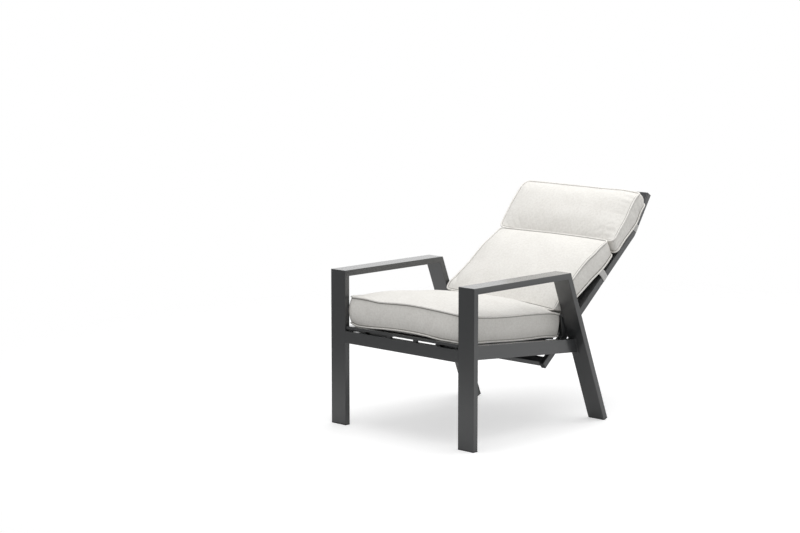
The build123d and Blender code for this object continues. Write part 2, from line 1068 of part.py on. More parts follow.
# Cylinder, with its eye, and the rod with its piston
cylinder_back = spring_length - eye_radius - eye_neck_length
piston_back = cylinder_back - cylinder_end - piston_backset
rod = on_spring(head_back - rod_head_overlap, piston_back, rod_radius)
piston = on_spring(
    piston_back - piston_length, piston_back, cylinder_radius - cylinder_wall - running_clearance
)
keep("gas_spring_rod", rod + piston)
cylinder = on_spring(cylinder_start, cylinder_back, cylinder_radius)
cylinder -= on_spring(
    cylinder_start + cylinder_end, cylinder_back - cylinder_end, cylinder_radius - cylinder_wall
)
cylinder -= on_spring(
    cylinder_start - cut_overrun,
    cylinder_start + cylinder_end + cut_overrun,
    rod_radius + running_clearance,
)
keep("gas_spring_cylinder", cylinder)
eye = rod_x(
    rear_pivot, eye_radius, spring_x - eye_thickness * half, spring_x + eye_thickness * half
)
neck = on_spring(cylinder_back, spring_length - cross_pin_radius, eye_neck_radius)
eye_hole = rod_x(
    rear_pivot,
    cross_pin_radius + cross_pin_play,
    spring_x - eye_thickness,
    spring_x + eye_thickness,
)
keep("gas_spring_eye", eye + neck - eye_hole)

# Clevis under the lower bar, and its pin
clevis_outer = clevis_gap + clevis_thickness


def clevis_ear(low_x, high_x):
    plate = hull_plate(
        hull_corners(
            back_point,
            lower_bar_start - clevis_thickness,
            lower_bar_start,
            (back_tube_depth - clevis_root_depth) * half,
            (back_tube_depth + clevis_root_depth) * half,
        ),
        [(*rear_pivot, clevis_nose_radius)],
        low_x,
        high_x,
    )
    above = block(
        back_point,
        lower_bar_start,
        lower_bar_start + lower_bar_height,
        -back_tube_depth,
        back_tube_depth + back_tube_depth,
        low_x - cut_overrun,
        high_x + cut_overrun,
    )
    hole = rod_x(
        rear_pivot, cross_pin_radius + seat_clearance, low_x - cut_overrun, high_x + cut_overrun
    )
    return plate - above - hole


ears = [
    clevis_ear(spring_x + clevis_gap, spring_x + clevis_outer),
    clevis_ear(spring_x - clevis_outer, spring_x - clevis_gap),
]
keep("spring_clevis", Compound(children=ears))
clevis_pin = rod_x(
    rear_pivot,
    cross_pin_radius,
    spring_x - clevis_outer - cross_pin_head_height,
    spring_x + clevis_outer,
)
clevis_pin += rod_x(
    rear_pivot,
    cross_pin_head_radius,
    spring_x + clevis_outer,
    spring_x + clevis_outer + cross_pin_head_height,
)
keep("spring_clevis_pin", clevis_pin)

# Release lever: a shaft through the ears and the right side rail, bent forward into a handle
lever_cos = math.cos(math.radians(lever_pitch))
lever_sin = math.sin(math.radians(lever_pitch))
shaft_end_x = spring_x + ear_gap + ear_thickness + lever_inner_reach
lever_tip = (
    -lever_outer_x,
    lever_center[0] - lever_reach * lever_cos,
    lever_center[1] + lever_reach * lever_sin,
)
lever_path = FilletPolyline(
    (shaft_end_x, *lever_center),
    (-lever_outer_x, *lever_center),
    lever_tip,
    radius=lever_bend_radius,
)
lever_section = Plane(origin=lever_path @ 0, z_dir=lever_path % 0) * Circle(lever_radius)
lever_rod = sweep(lever_section, path=lever_path)
pin_tip = spring_point(-release_pin_reach - finger_gap, 0)
finger_root = spring_point(-release_pin_reach - finger_gap - finger_thickness, 0)
finger = hull_plate(
    [
        pin_tip,
        spring_point(-release_pin_reach - finger_gap, finger_top),
        spring_point(-release_pin_reach - finger_gap - finger_thickness, finger_top),
        finger_root,
    ],
    [(*lever_center, finger_hub_radius)],
    spring_x - finger_width * half,
    spring_x + finger_width * half,
)
finger -= block(
    spring_point,
    -release_pin_reach - finger_gap,
    head_back,
    -finger_thickness,
    finger_hub_radius + finger_hub_radius,
    spring_x - finger_width,
    spring_x + finger_width,
)
finger -= rod_x(
    lever_center, lever_radius + seat_clearance, spring_x - finger_width, spring_x + finger_width
)
keep("release_lever", lever_rod)
keep("release_finger", finger)
grip_back = lever_reach + grip_end - grip_length


def lever_point(along):
    return (
        -lever_outer_x,
        lever_center[0] - along * lever_cos,
        lever_center[1] + along * lever_sin,
    )


grip = rod_between(lever_point(grip_back), lever_point(lever_reach + grip_end), grip_radius)
grip -= rod_between(
    lever_point(grip_back - cut_overrun), lever_point(lever_reach), lever_radius + seat_clearance
)
keep("lever_grip", grip)
rail_bush = rod_x(lever_center, rail_bush_radius, -rail_outer_x, -rail_inner_x)
rail_bush += rod_x(
    lever_center, rail_bush_flange_radius, -rail_outer_x - rail_bush_flange, -rail_outer_x
)
rail_bush -= rod_x(
    lever_center,
    lever_radius + running_clearance,
    -rail_outer_x - rail_bush_flange - cut_overrun,
    -rail_inner_x + cut_overrun,
)
keep("lever_bush", rail_bush)


# Cushions: each is a loft through side outlines that are fuller towards the middle
def section(place, x, corners, middles):
    """A closed outline at one x: an arc or a line from each corner to the next."""
    edges = []
    for index, corner in enumerate(corners):
        start = (x, *place(*corner))
        end = (x, *place(*corners[(index + 1) % len(corners)]))
        middle = middles[index]
        if middle is None:
            edges.append(Line(start, end))
        else:
            edges.append(ThreePointArc(start, (x, *place(*middle)), end))
    return make_face(edges)


def shrunk(corners, middles, inset):
    """The same outline drawn in towards its middle by a distance."""
    center_a = sum(a for a, b in corners) / len(corners)
    center_b = sum(b for a, b in corners) / len(corners)

    def pull(point):
        if point is None:
            return None
        a, b = point
        reach_a = abs(a - center_a)
        reach_b = abs(b - center_b)
        near_a = center_a + (a - center_a) * max(reach_a - inset, 0) / max(reach_a, inset)
        near_b = center_b + (b - center_b) * max(reach_b - inset, 0) / max(reach_b, inset)
        return (near_a, near_b)

    return [pull(point) for point in corners], [pull(point) for point in middles]


def cushion(place, outline, half_width):
    """Lofted across the width, between two side panels that stand a little proud."""
    crest = shrunk(*outline(0.0), pad_side_inset)
    faces = [section(place, -half_width - pad_side_bulge, *crest)]
    for share, crown in zip(section_shares, crown_shares):
        faces.append(section(place, half_width * share, *outline(crown)))
    faces.append(section(place, half_width + pad_side_bulge, *crest))
    return loft(faces, ruled=True)


def seat_pad_outline(crown):
    bottom = seat_bar_height + seat_pad_rise
    front_top = bottom + seat_pad_front_height + seat_pad_seam_rise * crown
    rear_top = bottom + seat_pad_rear_height
    corners = [
        (seat_pad_front, bottom),
        (seat_pad_rear, bottom),
        (seat_pad_rear, rear_top),
        (seat_pad_front, front_top),
    ]
    crest = (front_top + rear_top) * half + seat_pad_crown * crown + pad_least_bow
    middles = [
        None,
        (seat_pad_rear + seat_pad_rear_bulge, (bottom + rear_top) * half),
        ((seat_pad_front + seat_pad_rear) * half, crest),
        (seat_pad_front - seat_pad_front_bulge, (bottom + front_top) * half),
    ]
    return corners, middles


def back_pad_outline(crown):
    rear_high = back_pad_top_lift - back_pad_top_sink * crown
    rear_low = back_pad_bottom_lift
    front_high = back_pad_top_lift + back_pad_top_thickness
    front_low = back_pad_bottom_lift + back_pad_bottom_thickness
    front_bow = back_pad_front_bow + back_pad_front_crown * crown
    rear_bow = back_pad_rear_bow + back_pad_rear_sink * crown
    middle = (back_pad_bottom + back_pad_top) * half
    corners = [
        (back_pad_bottom, rear_low),
        (back_pad_bottom, front_low),
        (back_pad_top + back_pad_end_bulge * half, front_high),
        (back_pad_top - back_pad_end_bulge, rear_high),
    ]
    middles = [
        (back_pad_bottom - back_pad_end_bulge, (rear_low + front_low) * half),
        (middle, (front_low + front_high) * half + front_bow),
        (back_pad_top + back_pad_end_bulge * half, (rear_high + front_high) * half),
        (middle, (rear_low + rear_high) * half - rear_bow),
    ]
    return corners, middles


def head_pad_outline(crown):
    top = head_pad_bottom + head_pad_length
    front_low = (
        head_pad_bottom + head_pad_skew * half,
        head_pad_bottom_lift + head_pad_bottom_thickness,
    )
    front_high = (top, head_pad_top_lift + head_pad_top_thickness)
    rear_high = (top - head_pad_skew * half, head_pad_top_lift + head_pad_rear_rise)
    rear_low = (head_pad_bottom - head_pad_skew * half, head_pad_bottom_lift)
    middle = head_pad_bottom + head_pad_length * half
    front_middle = (
        middle,
        (front_low[1] + front_high[1]) * half + head_pad_bow + head_pad_crown * crown,
    )
    corners = [rear_low, front_low, front_high, rear_high]
    middles = [
        (
            head_pad_bottom - head_pad_bottom_bulge,
            head_pad_bottom_lift + head_pad_bottom_thickness * half,
        ),
        front_middle,
        (top + head_pad_top_bulge, head_pad_top_lift + head_pad_top_thickness * half),
        (
            middle,
            (rear_low[1] + rear_high[1]) * half - head_pad_rear_bow - head_pad_sink * crown,
        ),
    ]
    return corners, middles


keep("seat_cushion", cushion(seat_point, seat_pad_outline, seat_pad_half_width))
keep("back_cushion", cushion(back_point, back_pad_outline, back_pad_half_width))
keep("head_cushion", cushion(back_point, head_pad_outline, head_pad_half_width))


# Straps that hold the cushions: around both tubes and across the rear of the back
def strap(place, center, reach):
    low = center - strap_width * half
    high = center + strap_width * half
    edge = back_half_width + strap_thickness
    band = block(place, low, high, -strap_thickness, 0, -edge, edge)
    for near, far in ((back_half_width, edge), (-edge, -back_half_width)):
        band += block(place, low, high, -strap_thickness, reach, near, far)
    return band


keep("back_strap", strap(back_point, back_strap_center, back_strap_reach))
keep("head_strap", strap(head_point, head_strap_center, head_strap_reach))

# The origin stands on the floor under the middle of the whole chair.
os.makedirs("parts", exist_ok=True)
to_origin = Location((0, -overall_depth * half, 0))
for name, piece in pieces.items():
    export_step(to_origin * piece, os.path.join("parts", name + ".step"))
print("nodes", len(pieces), "depth", overall_depth, "spring length", spring_length)
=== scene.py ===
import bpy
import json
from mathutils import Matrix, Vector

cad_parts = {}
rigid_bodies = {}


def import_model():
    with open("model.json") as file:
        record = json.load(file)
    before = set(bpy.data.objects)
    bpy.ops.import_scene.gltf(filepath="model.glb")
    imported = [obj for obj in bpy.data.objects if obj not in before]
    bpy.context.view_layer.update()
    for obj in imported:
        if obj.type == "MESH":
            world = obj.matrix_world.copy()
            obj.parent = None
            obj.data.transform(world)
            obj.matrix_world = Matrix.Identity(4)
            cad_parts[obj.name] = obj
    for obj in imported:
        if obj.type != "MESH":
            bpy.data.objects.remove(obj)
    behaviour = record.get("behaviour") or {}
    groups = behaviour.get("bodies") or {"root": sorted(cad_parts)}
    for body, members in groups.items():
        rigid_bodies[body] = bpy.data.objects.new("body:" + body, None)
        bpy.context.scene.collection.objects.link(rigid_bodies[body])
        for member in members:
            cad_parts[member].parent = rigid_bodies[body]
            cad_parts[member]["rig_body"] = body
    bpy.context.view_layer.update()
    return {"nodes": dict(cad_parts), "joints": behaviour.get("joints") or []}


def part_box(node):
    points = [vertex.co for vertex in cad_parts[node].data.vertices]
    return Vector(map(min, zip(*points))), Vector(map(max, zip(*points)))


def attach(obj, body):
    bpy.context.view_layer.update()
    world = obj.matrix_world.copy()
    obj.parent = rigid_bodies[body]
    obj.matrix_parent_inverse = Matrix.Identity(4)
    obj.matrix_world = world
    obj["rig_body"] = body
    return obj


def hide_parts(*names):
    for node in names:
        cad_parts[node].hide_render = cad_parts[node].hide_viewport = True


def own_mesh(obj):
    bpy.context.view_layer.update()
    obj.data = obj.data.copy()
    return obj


bl_info = {
    "name": "Reclining garden armchair",
    "version": (1, 0, 0),
    "blender": (4, 5, 0),
    "location": "3D View > Sidebar > Armchair",
    "description": "Dresses a reclining garden armchair: coated frame, slings and cushions",
    "category": "Object",
}

import json
import math
from contextlib import contextmanager

import bmesh
import bpy
import numpy as np
from mathutils import Vector, noise

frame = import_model()

MM = 0.001
NODES = frame["nodes"]

# Slopes at rest of the seat, the back, its head section and the rear legs
SEAT_SLOPE = math.radians(4.7)
BACK_ANGLE = math.radians(40.1)
HEAD_BEND = math.radians(16.5)
REAR_LEAN = math.radians(21.6)

# The bend of the back tubes, from the pivot: up along the back, and towards its rear
PIVOT_TO_BEND = 507.0
PIVOT_OFFSET = 87.0

# The back's sling and tubes: heights above their rear face, and places across
SLING_FRONT = 21.5
TUBE_FRONT = 25.0
TUBE_OUTER_X = 280.0
TUBE_INNER_X = 260.0
BACK_SLING_START = -545.0
BACK_SLING_END = 163.3

# The seat frame above its bearers
SEAT_BAR_TOP = 10.0
SEAT_SLING_TOP = 8.5
SEAT_SLING_X = 236.0
SEAT_SLING_START = 9.0
SEAT_SLING_END = 528.0
SEAT_TUBE_OUTER_X = 258.0


def joint_place(name):
    found = next(joint for joint in frame["joints"] if joint["name"] == name)
    return Vector(found["pos_m"])


def sloped(origin, angle):
    """A function that places points by millimetres across, up a slope, and square to it."""
    along_axis = Vector((0, math.cos(angle), math.sin(angle)))
    above_axis = Vector((0, -math.sin(angle), math.cos(angle)))

    def place(across, along, above):
        lifted = origin + along_axis * (along * MM) + above_axis * (above * MM)
        return lifted + Vector((across * MM, 0, 0))

    return place


seat_place = sloped(
    Vector((0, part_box("left_front_leg")[1].y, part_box("left_seat_bearer")[1].z)), -SEAT_SLOPE
)
BEND = sloped(joint_place("back_recline"), BACK_ANGLE)(0, PIVOT_TO_BEND, -PIVOT_OFFSET)
back_place = sloped(BEND, BACK_ANGLE)
head_place = sloped(BEND, BACK_ANGLE + HEAD_BEND)


# Settings that a user would change


COLOUR = {"subtype": "COLOR", "size": 3}


class FrameSettings(bpy.types.PropertyGroup):
    edge_radius: bpy.props.FloatProperty(
        name="Edge radius",
        description="Rounding along the edges of the box tubes",
        default=1.2 * MM,
        min=0.0,
        unit="LENGTH",
    )
    coat_colour: bpy.props.FloatVectorProperty(
        name="Powder coat",
        description="Colour of the coated frame",
        default=(0.027, 0.0285, 0.030),
        **COLOUR,
    )
    sling_colour: bpy.props.FloatVectorProperty(
        name="Sling",
        description="Colour of the seat and back slings",
        default=(0.036, 0.037, 0.039),
        **COLOUR,
    )
    plastic_colour: bpy.props.FloatVectorProperty(
        name="Plastic",
        description="Colour of the feet, caps and grip",
        default=(0.028, 0.028, 0.030),
        **COLOUR,
    )


class CushionSettings(bpy.types.PropertyGroup):
    cloth_colour: bpy.props.FloatVectorProperty(
        name="Cloth",
        description="Colour of the covers",
        default=(0.80, 0.785, 0.75),
        **COLOUR,
    )
    # Painted highlight: the piping's cloth is made lighter than the covers, for the light that the
    # cord catches.
    piping_highlight_colour: bpy.props.FloatVectorProperty(
        name="Piping",
        description="Colour of the cloth round the piping cord",
        default=(0.86, 0.845, 0.81),
        **COLOUR,
    )
    strap_colour: bpy.props.FloatVectorProperty(
        name="Straps",
        description="Colour of the elastic straps",
        default=(0.56, 0.555, 0.54),
        **COLOUR,
    )
    piping_radius: bpy.props.FloatProperty(
        name="Piping radius",
        description="Radius of the covered cord in every seam",
        default=3.4 * MM,
        min=0.5 * MM,
        unit="LENGTH",
    )
    pressure: bpy.props.FloatProperty(
        name="Filling pressure",
        description="Pressure of the filling while the covers settle",
        default=4.0,
        min=0.0,
    )
    settling_steps: bpy.props.IntProperty(
        name="Settling steps", description="Steps of the cloth simulation", default=20, min=1
    )


class StageSettings(bpy.types.PropertyGroup):
    camera_place: bpy.props.FloatVectorProperty(
        name="Camera place",
        description="Where the camera stands",
        default=(5.0806, -5.8620, 1.6935),
        subtype="XYZ",
        unit="LENGTH",
    )
    camera_back: bpy.props.FloatVectorProperty(
        name="Camera back",
        description="Direction from the view's centre to the camera",
        default=(0.686, -0.714, 0.142),
        subtype="DIRECTION",
    )
    lens: bpy.props.FloatProperty(
        name="Lens",
        description="Focal length in millimetres on a 36 mm sensor",
        default=90.69,
        min=1.0,
    )
    surround_level: bpy.props.FloatProperty(
        name="Surround",
        description="Strength of the even light from all round",
        default=0.57,
        min=0.0,
    )
    floor_glow: bpy.props.FloatProperty(
        name="Floor glow",
        description="How much lighter the camera sees the floor than its lamps make it",
        default=0.5,
        min=0.0,
    )
    front_level: bpy.props.FloatProperty(
        name="Front in reflections",
        description="Brightness that gloss shows of the room in front of the chair",
        default=0.3,
        min=0.0,
    )
    top_power: bpy.props.FloatProperty(
        name="Top light", description="Watts of the large lamp overhead", default=71.0, min=0.0
    )
    side_power: bpy.props.FloatProperty(
        name="Side light",
        description="Watts of the large lamp behind the sitter's left",
        default=8.0,
        min=0.0,
    )


# Node trees


class Signal:
    """One output of a node, with the arithmetic that patterns use."""

    def __init__(self, tree, socket):
        self.tree = tree
        self.socket = socket

    def maths(self, operation, first, second=0.0):
        return self.tree.node("ShaderNodeMath", {"operation": operation}, {0: first, 1: second})

    def __add__(self, other):
        return self.maths("ADD", self, other)

    __radd__ = __add__

    def __rsub__(self, other):
        return self.maths("SUBTRACT", other, self)

    def __mul__(self, other):
        return self.maths("MULTIPLY", self, other)

    __rmul__ = __mul__

    def __truediv__(self, other):
        return self.maths("DIVIDE", self, other)

    def floor(self):
        return self.maths("FLOOR", self)

    def fraction(self):
        return self.maths("FRACT", self)

    def wave(self, period):
        """A ridge that rises and falls once in each period."""
        return self.maths("ABSOLUTE", self.maths("SINE", self * (math.pi / period)))


class Tree:
    """A node tree whose nodes are all added through node()."""

    def __init__(self, tree):
        self.tree = tree
        self.tree.nodes.clear()

    def node(self, kind, settings=None, sockets=None, output=0):
        """Adds a node: its settings first, then the values or links of its sockets."""
        made = self.tree.nodes.new(kind)
        for name, value in (settings or {}).items():
            setattr(made, name, value)
        for name, value in (sockets or {}).items():
            if isinstance(value, Signal):
                self.tree.links.new(value.socket, made.inputs[name])
            else:
                made.inputs[name].default_value = value
        return Signal(self, made.outputs[output]) if output is not None else None

    def between(self, value, low, high):
        """The value's place between two levels, from 0 to 1, with soft ends."""
        sockets = {"Value": value, "From Min": low, "From Max": high}
        return self.node("ShaderNodeMapRange", {"interpolation_type": "SMOOTHSTEP"}, sockets)

    def rays(self):
        """Signals for the camera's rays with those through glass, and for glossy rays."""
        seen = self.node("ShaderNodeLightPath", output="Is Camera Ray")
        outputs = seen.socket.node.outputs
        glossy = Signal(self, outputs["Is Glossy Ray"])
        return seen + Signal(self, outputs["Is Transmission Ray"]), glossy


class Finish(Tree):
    """The nodes of one material."""

    def __init__(self, name):
        self.material = bpy.data.materials.new(name)
        self.material.use_nodes = True
        super().__init__(self.material.node_tree)

    def place(self):
        return self.node("ShaderNodeTexCoord", output="Object")

    def cloth_place(self):
        """Where a point lies on the flat cloth, in metres."""
        return self.node("ShaderNodeUVMap", {"uv_map": "weave"})

    def part(self, vector, index):
        return self.node("ShaderNodeSeparateXYZ", None, {"Vector": vector}, output=index)

    def scaled(self, vector, scale):
        return self.node("ShaderNodeVectorMath", {"operation": "MULTIPLY"}, {0: vector, 1: scale})

    def noise(self, vector, scale, detail=2.0, roughness=0.5):
        sockets = {"Vector": vector, "Scale": scale, "Detail": detail, "Roughness": roughness}
        return self.node("ShaderNodeTexNoise", None, sockets)

    def blend(self, share, first, second):
        sockets = {0: share, 6: first, 7: second}
        return self.node("ShaderNodeMix", {"data_type": "RGBA"}, sockets, output=2)

    def relief(self, height, distance, strength=1.0):
        sockets = {"Height": height, "Distance": distance, "Strength": strength}
        return self.node("ShaderNodeBump", None, sockets)

    def shaded(self, base, roughness, normal, fixed=None):
        """Ends the tree: what varies comes in as signals, and fixed holds plain values."""
        sockets = {"Base Color": base, "Roughness": roughness, "Normal": normal}
        sockets.update(fixed or {})
        shader = self.node("ShaderNodeBsdfPrincipled", None, sockets)
        self.node("ShaderNodeOutputMaterial", None, {"Surface": shader}, output=None)
        return self.material


class Recipe(Tree):
    """A geometry node tree with named sizes, run on a guide and left as a plain mesh."""

    def __init__(self, name, sizes):
        super().__init__(bpy.data.node_groups.new(name, "GeometryNodeTree"))
        faces = self.tree.interface
        faces.new_socket("Geometry", in_out="INPUT", socket_type="NodeSocketGeometry")
        for size in sizes:
            faces.new_socket(size, in_out="INPUT", socket_type="NodeSocketFloat")
        faces.new_socket("Geometry", in_out="OUTPUT", socket_type="NodeSocketGeometry")
        self.start = self.tree.nodes.new("NodeGroupInput")
        self.guide = self.given("Geometry")

    def given(self, name):
        return Signal(self, self.start.outputs[name])

    def close(self, geometry, material):
        real = self.node("GeometryNodeRealizeInstances", None, {"Geometry": geometry})
        smooth = self.node("GeometryNodeSetShadeSmooth", None, {"Geometry": real})
        sockets = {"Geometry": smooth, "Material": material}
        painted = self.node("GeometryNodeSetMaterial", None, sockets)
        self.node("NodeGroupOutput", None, {"Geometry": painted}, output=None)

    def run(self, guide, sizes):
        """Runs the recipe on a guide mesh and returns the plain mesh that it makes."""
        with trial(guide) as holder:
            modifier = holder.modifiers.new("recipe", "NODES")
            modifier.node_group = self.tree
            for item in self.tree.interface.items_tree:
                if item.item_type == "SOCKET" and item.name in sizes:
                    modifier[item.identifier] = sizes[item.name]
            return plain_mesh(holder)


# Finishes


def toned(colour, factor, warmth=0.0):
    """A colour made lighter or darker, and warmer by a share, as an RGBA tuple."""
    red, green, blue = (channel * factor for channel in colour)
    return (red * (1 + warmth), green, blue * (1 - warmth), 1.0)


def powder_coat(colour):
    """Matt powder coat: a fine orange peel, faint speckle and a soft sheen at a low angle."""
    finish = Finish("anthracite_powder_coat")
    place = finish.place()
    peel = finish.noise(place, 480.0, 2.0, 0.55)
    speckle = finish.noise(place, 2400.0, 1.0)
    drift = finish.noise(place, 7.0, 2.0)
    shade = drift * 0.4 + speckle * 0.6
    base = finish.blend(shade, toned(colour, 0.86), toned(colour, 1.16))
    rough = 0.34 + drift * 0.08 + speckle * 0.06
    normal = finish.relief(peel * 0.8 + speckle * 0.2, 0.12 * MM, 0.5)
    fixed = {"Coat Weight": 1.0, "Coat Roughness": 0.14}
    return finish.shaded(base, rough, normal, fixed)


def woven(finish, place, pitch):
    """The relief of a plain weave: yarns that pass over and under each other by turns."""
    across, along = finish.part(place, 0), finish.part(place, 1)
    column = (across / pitch).floor()
    row = (along / pitch).floor()
    turn = ((column + row) * 0.5).fraction() * 2.0
    warp = across.wave(pitch) * (1.0 - turn * 0.6)
    weft = along.wave(pitch) * (0.4 + turn * 0.6)
    return warp + weft


def cushion_cloth(name, colour, place_of):
    """Melange weave: slubs along both yarns, mottling, and a painted shade line beside the cords,
    where their shadow falls.
    """
    finish = Finish(name)
    place = place_of(finish)
    weave = woven(finish, place, 1.5 * MM)
    warp_slub = finish.noise(finish.scaled(place, (520.0, 62.0, 200.0)), 1.0, 2.0, 0.6)
    weft_slub = finish.noise(finish.scaled(place, (62.0, 520.0, 200.0)), 1.0, 2.0, 0.6)
    mottle = finish.noise(place, 110.0, 3.0, 0.62)
    cloud = finish.noise(place, 14.0, 2.0)
    yarn = warp_slub * 0.5 + weft_slub * 0.5
    tone = yarn * 0.5 + mottle * 0.35 + cloud * 0.15
    share = finish.between(tone, 0.36, 0.62)
    cover = finish.blend(share, toned(colour, 0.895, 0.01), toned(colour, 1.04))
    # Painted shade: the seam attribute blends the cloth towards a dark tone beside each piping
    # cord, standing in for the cord's shadow and the crease at the seam.
    seam = finish.node("ShaderNodeAttribute", {"attribute_name": "seam"}, None, 2)
    shade = finish.between(seam, 0.42, 0.72)
    base = finish.blend(shade * 0.9, cover, toned(colour, 0.26, 0.03))
    rough = 0.84 + mottle * 0.1
    normal = finish.relief(weave * 0.6 + yarn * 0.5, 0.45 * MM, 0.6)
    fixed = {"Sheen Weight": 0.12, "Sheen Roughness": 0.5, "Specular IOR Level": 0.25}
    return finish.shaded(base, rough, normal, fixed)


def sling_textile(colour):
    """Coated mesh: thick cords crossed by thinner ones."""
    finish = Finish("sling_textile")
    place = finish.cloth_place()
    weave = woven(finish, place, 2.2 * MM)
    streak = finish.noise(finish.scaled(place, (380.0, 40.0, 40.0)), 1.0, 2.0)
    base = finish.blend(weave * 0.5 + streak * 0.3, toned(colour, 0.5), toned(colour, 1.6))
    normal = finish.relief(weave, 0.6 * MM, 0.8)
    return finish.shaded(base, 0.5 + streak * 0.16, normal, {"Specular IOR Level": 0.45})


def strap_elastic(colour):
    """Woven elastic: ribs along its length crossed by fine picks."""
    finish = Finish("strap_elastic")
    place = finish.cloth_place()
    ribs = finish.part(place, 0).wave(2.1 * MM)
    picks = finish.part(place, 1).wave(1.2 * MM)
    tone = finish.noise(place, 260.0, 2.0)
    base = finish.blend(ribs * 0.5 + tone * 0.5, toned(colour, 0.78), toned(colour, 1.1))
    normal = finish.relief(ribs * 0.7 + picks * 0.3, 0.4 * MM, 0.8)
    return finish.shaded(base, 0.7 + tone * 0.14, normal, {"Sheen Weight": 0.1})


def moulded_plastic(name, colour, grain, rough):
    """Moulded plastic with a fine spark-eroded grain."""
    finish = Finish(name)
    place = finish.place()
    fine = finish.noise(place, grain, 2.0)
    broad = finish.noise(place, 35.0, 2.0)
    base = finish.blend(broad, toned(colour, 0.82), toned(colour, 1.25))
    normal = finish.relief(fine, 0.12 * MM, 0.7)
    return finish.shaded(base, rough + fine * 0.12, normal)


def steel(name, colour, metallic, rough, stretch):
    """Turned, plated or painted steel, with fine marks along one direction."""
    finish = Finish(name)
    place = finish.place()
    marks = finish.noise(finish.scaled(place, stretch), 1.0, 3.0, 0.6)
    patches = finish.noise(place, 55.0, 3.0)
    base = finish.blend(patches, toned(colour, 0.84), toned(colour, 1.14))
    normal = finish.relief(marks, 0.05 * MM, 0.5)
    worn = rough + marks * 0.1 + patches * 0.06
    return finish.shaded(base, worn, normal, {"Metallic": metallic})


ZINC = (0.56, 0.56, 0.57)
GROUND = (0.64, 0.64, 0.65)
BLACK_PAINT = (0.030, 0.030, 0.033)
BEARING = (0.085, 0.085, 0.09)


class Palette:
    """Every finish of the chair, each made when a piece first asks for it."""

    def __init__(self):
        self.made = {}

    def recipes(self):
        coat = bpy.context.scene.armchair_frame
        covers = bpy.context.scene.armchair_cushions
        plastic, cloth = coat.plastic_colour, covers.cloth_colour
        return {
            "coat": lambda: powder_coat(coat.coat_colour),
            "sling": lambda: sling_textile(coat.sling_colour),
            "plastic": lambda: moulded_plastic("black_plastic", plastic, 900.0, 0.5),
            "grip": lambda: moulded_plastic("grip_plastic", toned(plastic, 1.2)[:3], 1500.0, 0.62),
            "bearing": lambda: moulded_plastic("bearing_plastic", BEARING, 700.0, 0.4),
            "zinc": lambda: steel("zinc_plated_steel", ZINC, 1.0, 0.3, (500.0, 500.0, 500.0)),
            "ground": lambda: steel("ground_rod", GROUND, 1.0, 0.16, (60.0, 2400.0, 2400.0)),
            "black": lambda: steel("black_painted_steel", BLACK_PAINT, 0.0, 0.34, (300.0,) * 3),
            "cloth": lambda: cushion_cloth("cushion_cloth", cloth, Finish.cloth_place),
            # The piping gets the cover cloth made lighter, as a painted highlight.
            "piping": lambda: cushion_cloth("piping_cloth", covers.piping_highlight_colour, Finish.place),
            "elastic": lambda: strap_elastic(covers.strap_colour),
        }

    def __getitem__(self, name):
        if name not in self.made:
            self.made[name] = self.recipes()[name]()
        return self.made[name]


palette = Palette()


# Meshes


def plain_mesh(holder):
    """The mesh of an object with its modifiers applied."""
    seen = bpy.context.evaluated_depsgraph_get()
    seen.update()
    return bpy.data.meshes.new_from_object(holder.evaluated_get(seen), depsgraph=seen)


def stood(name, data):
    """A new object in the scene."""
    made = bpy.data.objects.new(name, data)
    bpy.context.scene.collection.objects.link(made)
    return made


@contextmanager
def trial(mesh):
    """An object that is there only while its mesh is worked on."""
    holder = stood("trial", mesh)
    yield holder
    bpy.data.objects.remove(holder)


def shown(name, mesh, body, material, slot, replaced=()):
    """Makes the object of a finished mesh, which rides on a body and stands for CAD nodes."""
    mesh.name = name
    mesh.materials.clear()
    mesh.materials.append(material)
    piece = stood(name, mesh)
    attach(piece, body)
    if replaced:
        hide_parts(*replaced)
    return piece


def paint(finish, *nodes):
    """Gives CAD nodes that keep their shape a finish."""
    for node in nodes:
        holder = NODES[node]
        holder.data.materials.clear()
        holder.data.materials.append(palette[finish])


def mesh_of(name, points, faces, corners):
    """A smooth mesh, with a weave map from its corners' places on the cloth in millimetres."""
    mesh = bpy.data.meshes.new(name)
    mesh.from_pydata([tuple(point) for point in points], [], faces)
    mesh.polygons.foreach_set("use_smooth", [True] * len(mesh.polygons))
    layer = mesh.uv_layers.new(name="weave")
    layer.data.foreach_set("uv", (np.array(corners, float) * MM).ravel())
    mesh.update()
    return mesh


def coordinates(mesh):
    points = np.zeros(len(mesh.vertices) * 3)
    mesh.vertices.foreach_get("co", points)
    return points.reshape(-1, 3)


def normals_of(mesh):
    normals = np.zeros(len(mesh.vertices) * 3)
    mesh.vertex_normals.foreach_get("vector", normals)
    return normals.reshape(-1, 3)


def move_to(mesh, points):
    mesh.vertices.foreach_set("co", points.ravel())
    mesh.update()


def guide_of(name, lines):
    """A mesh of edges only, from lines of points that are closed or open."""
    points, edges = [], []
    for line, closed in lines:
        first = len(points)
        points += [tuple(point) for point in line]
        edges += [(first + step, first + step + 1) for step in range(len(line) - 1)]
        if closed:
            edges.append((len(points) - 1, first))
    mesh = bpy.data.meshes.new(name)
    mesh.from_pydata(points, edges, [])
    return mesh


MERGE_DISTANCE = 1e-6
FLAT_ANGLE = math.radians(1.0)
SHARP_ANGLE = math.radians(28.0)
SHADING_ANGLE = math.radians(35.0)
ALONG_ENOUGH = 0.995
LEAST_FACE = 2.6 * MM
EDGE_SEGMENTS = 3
METAL = ("coat", "anthracite_frame")
PLASTIC = ("plastic", "black_plastic")


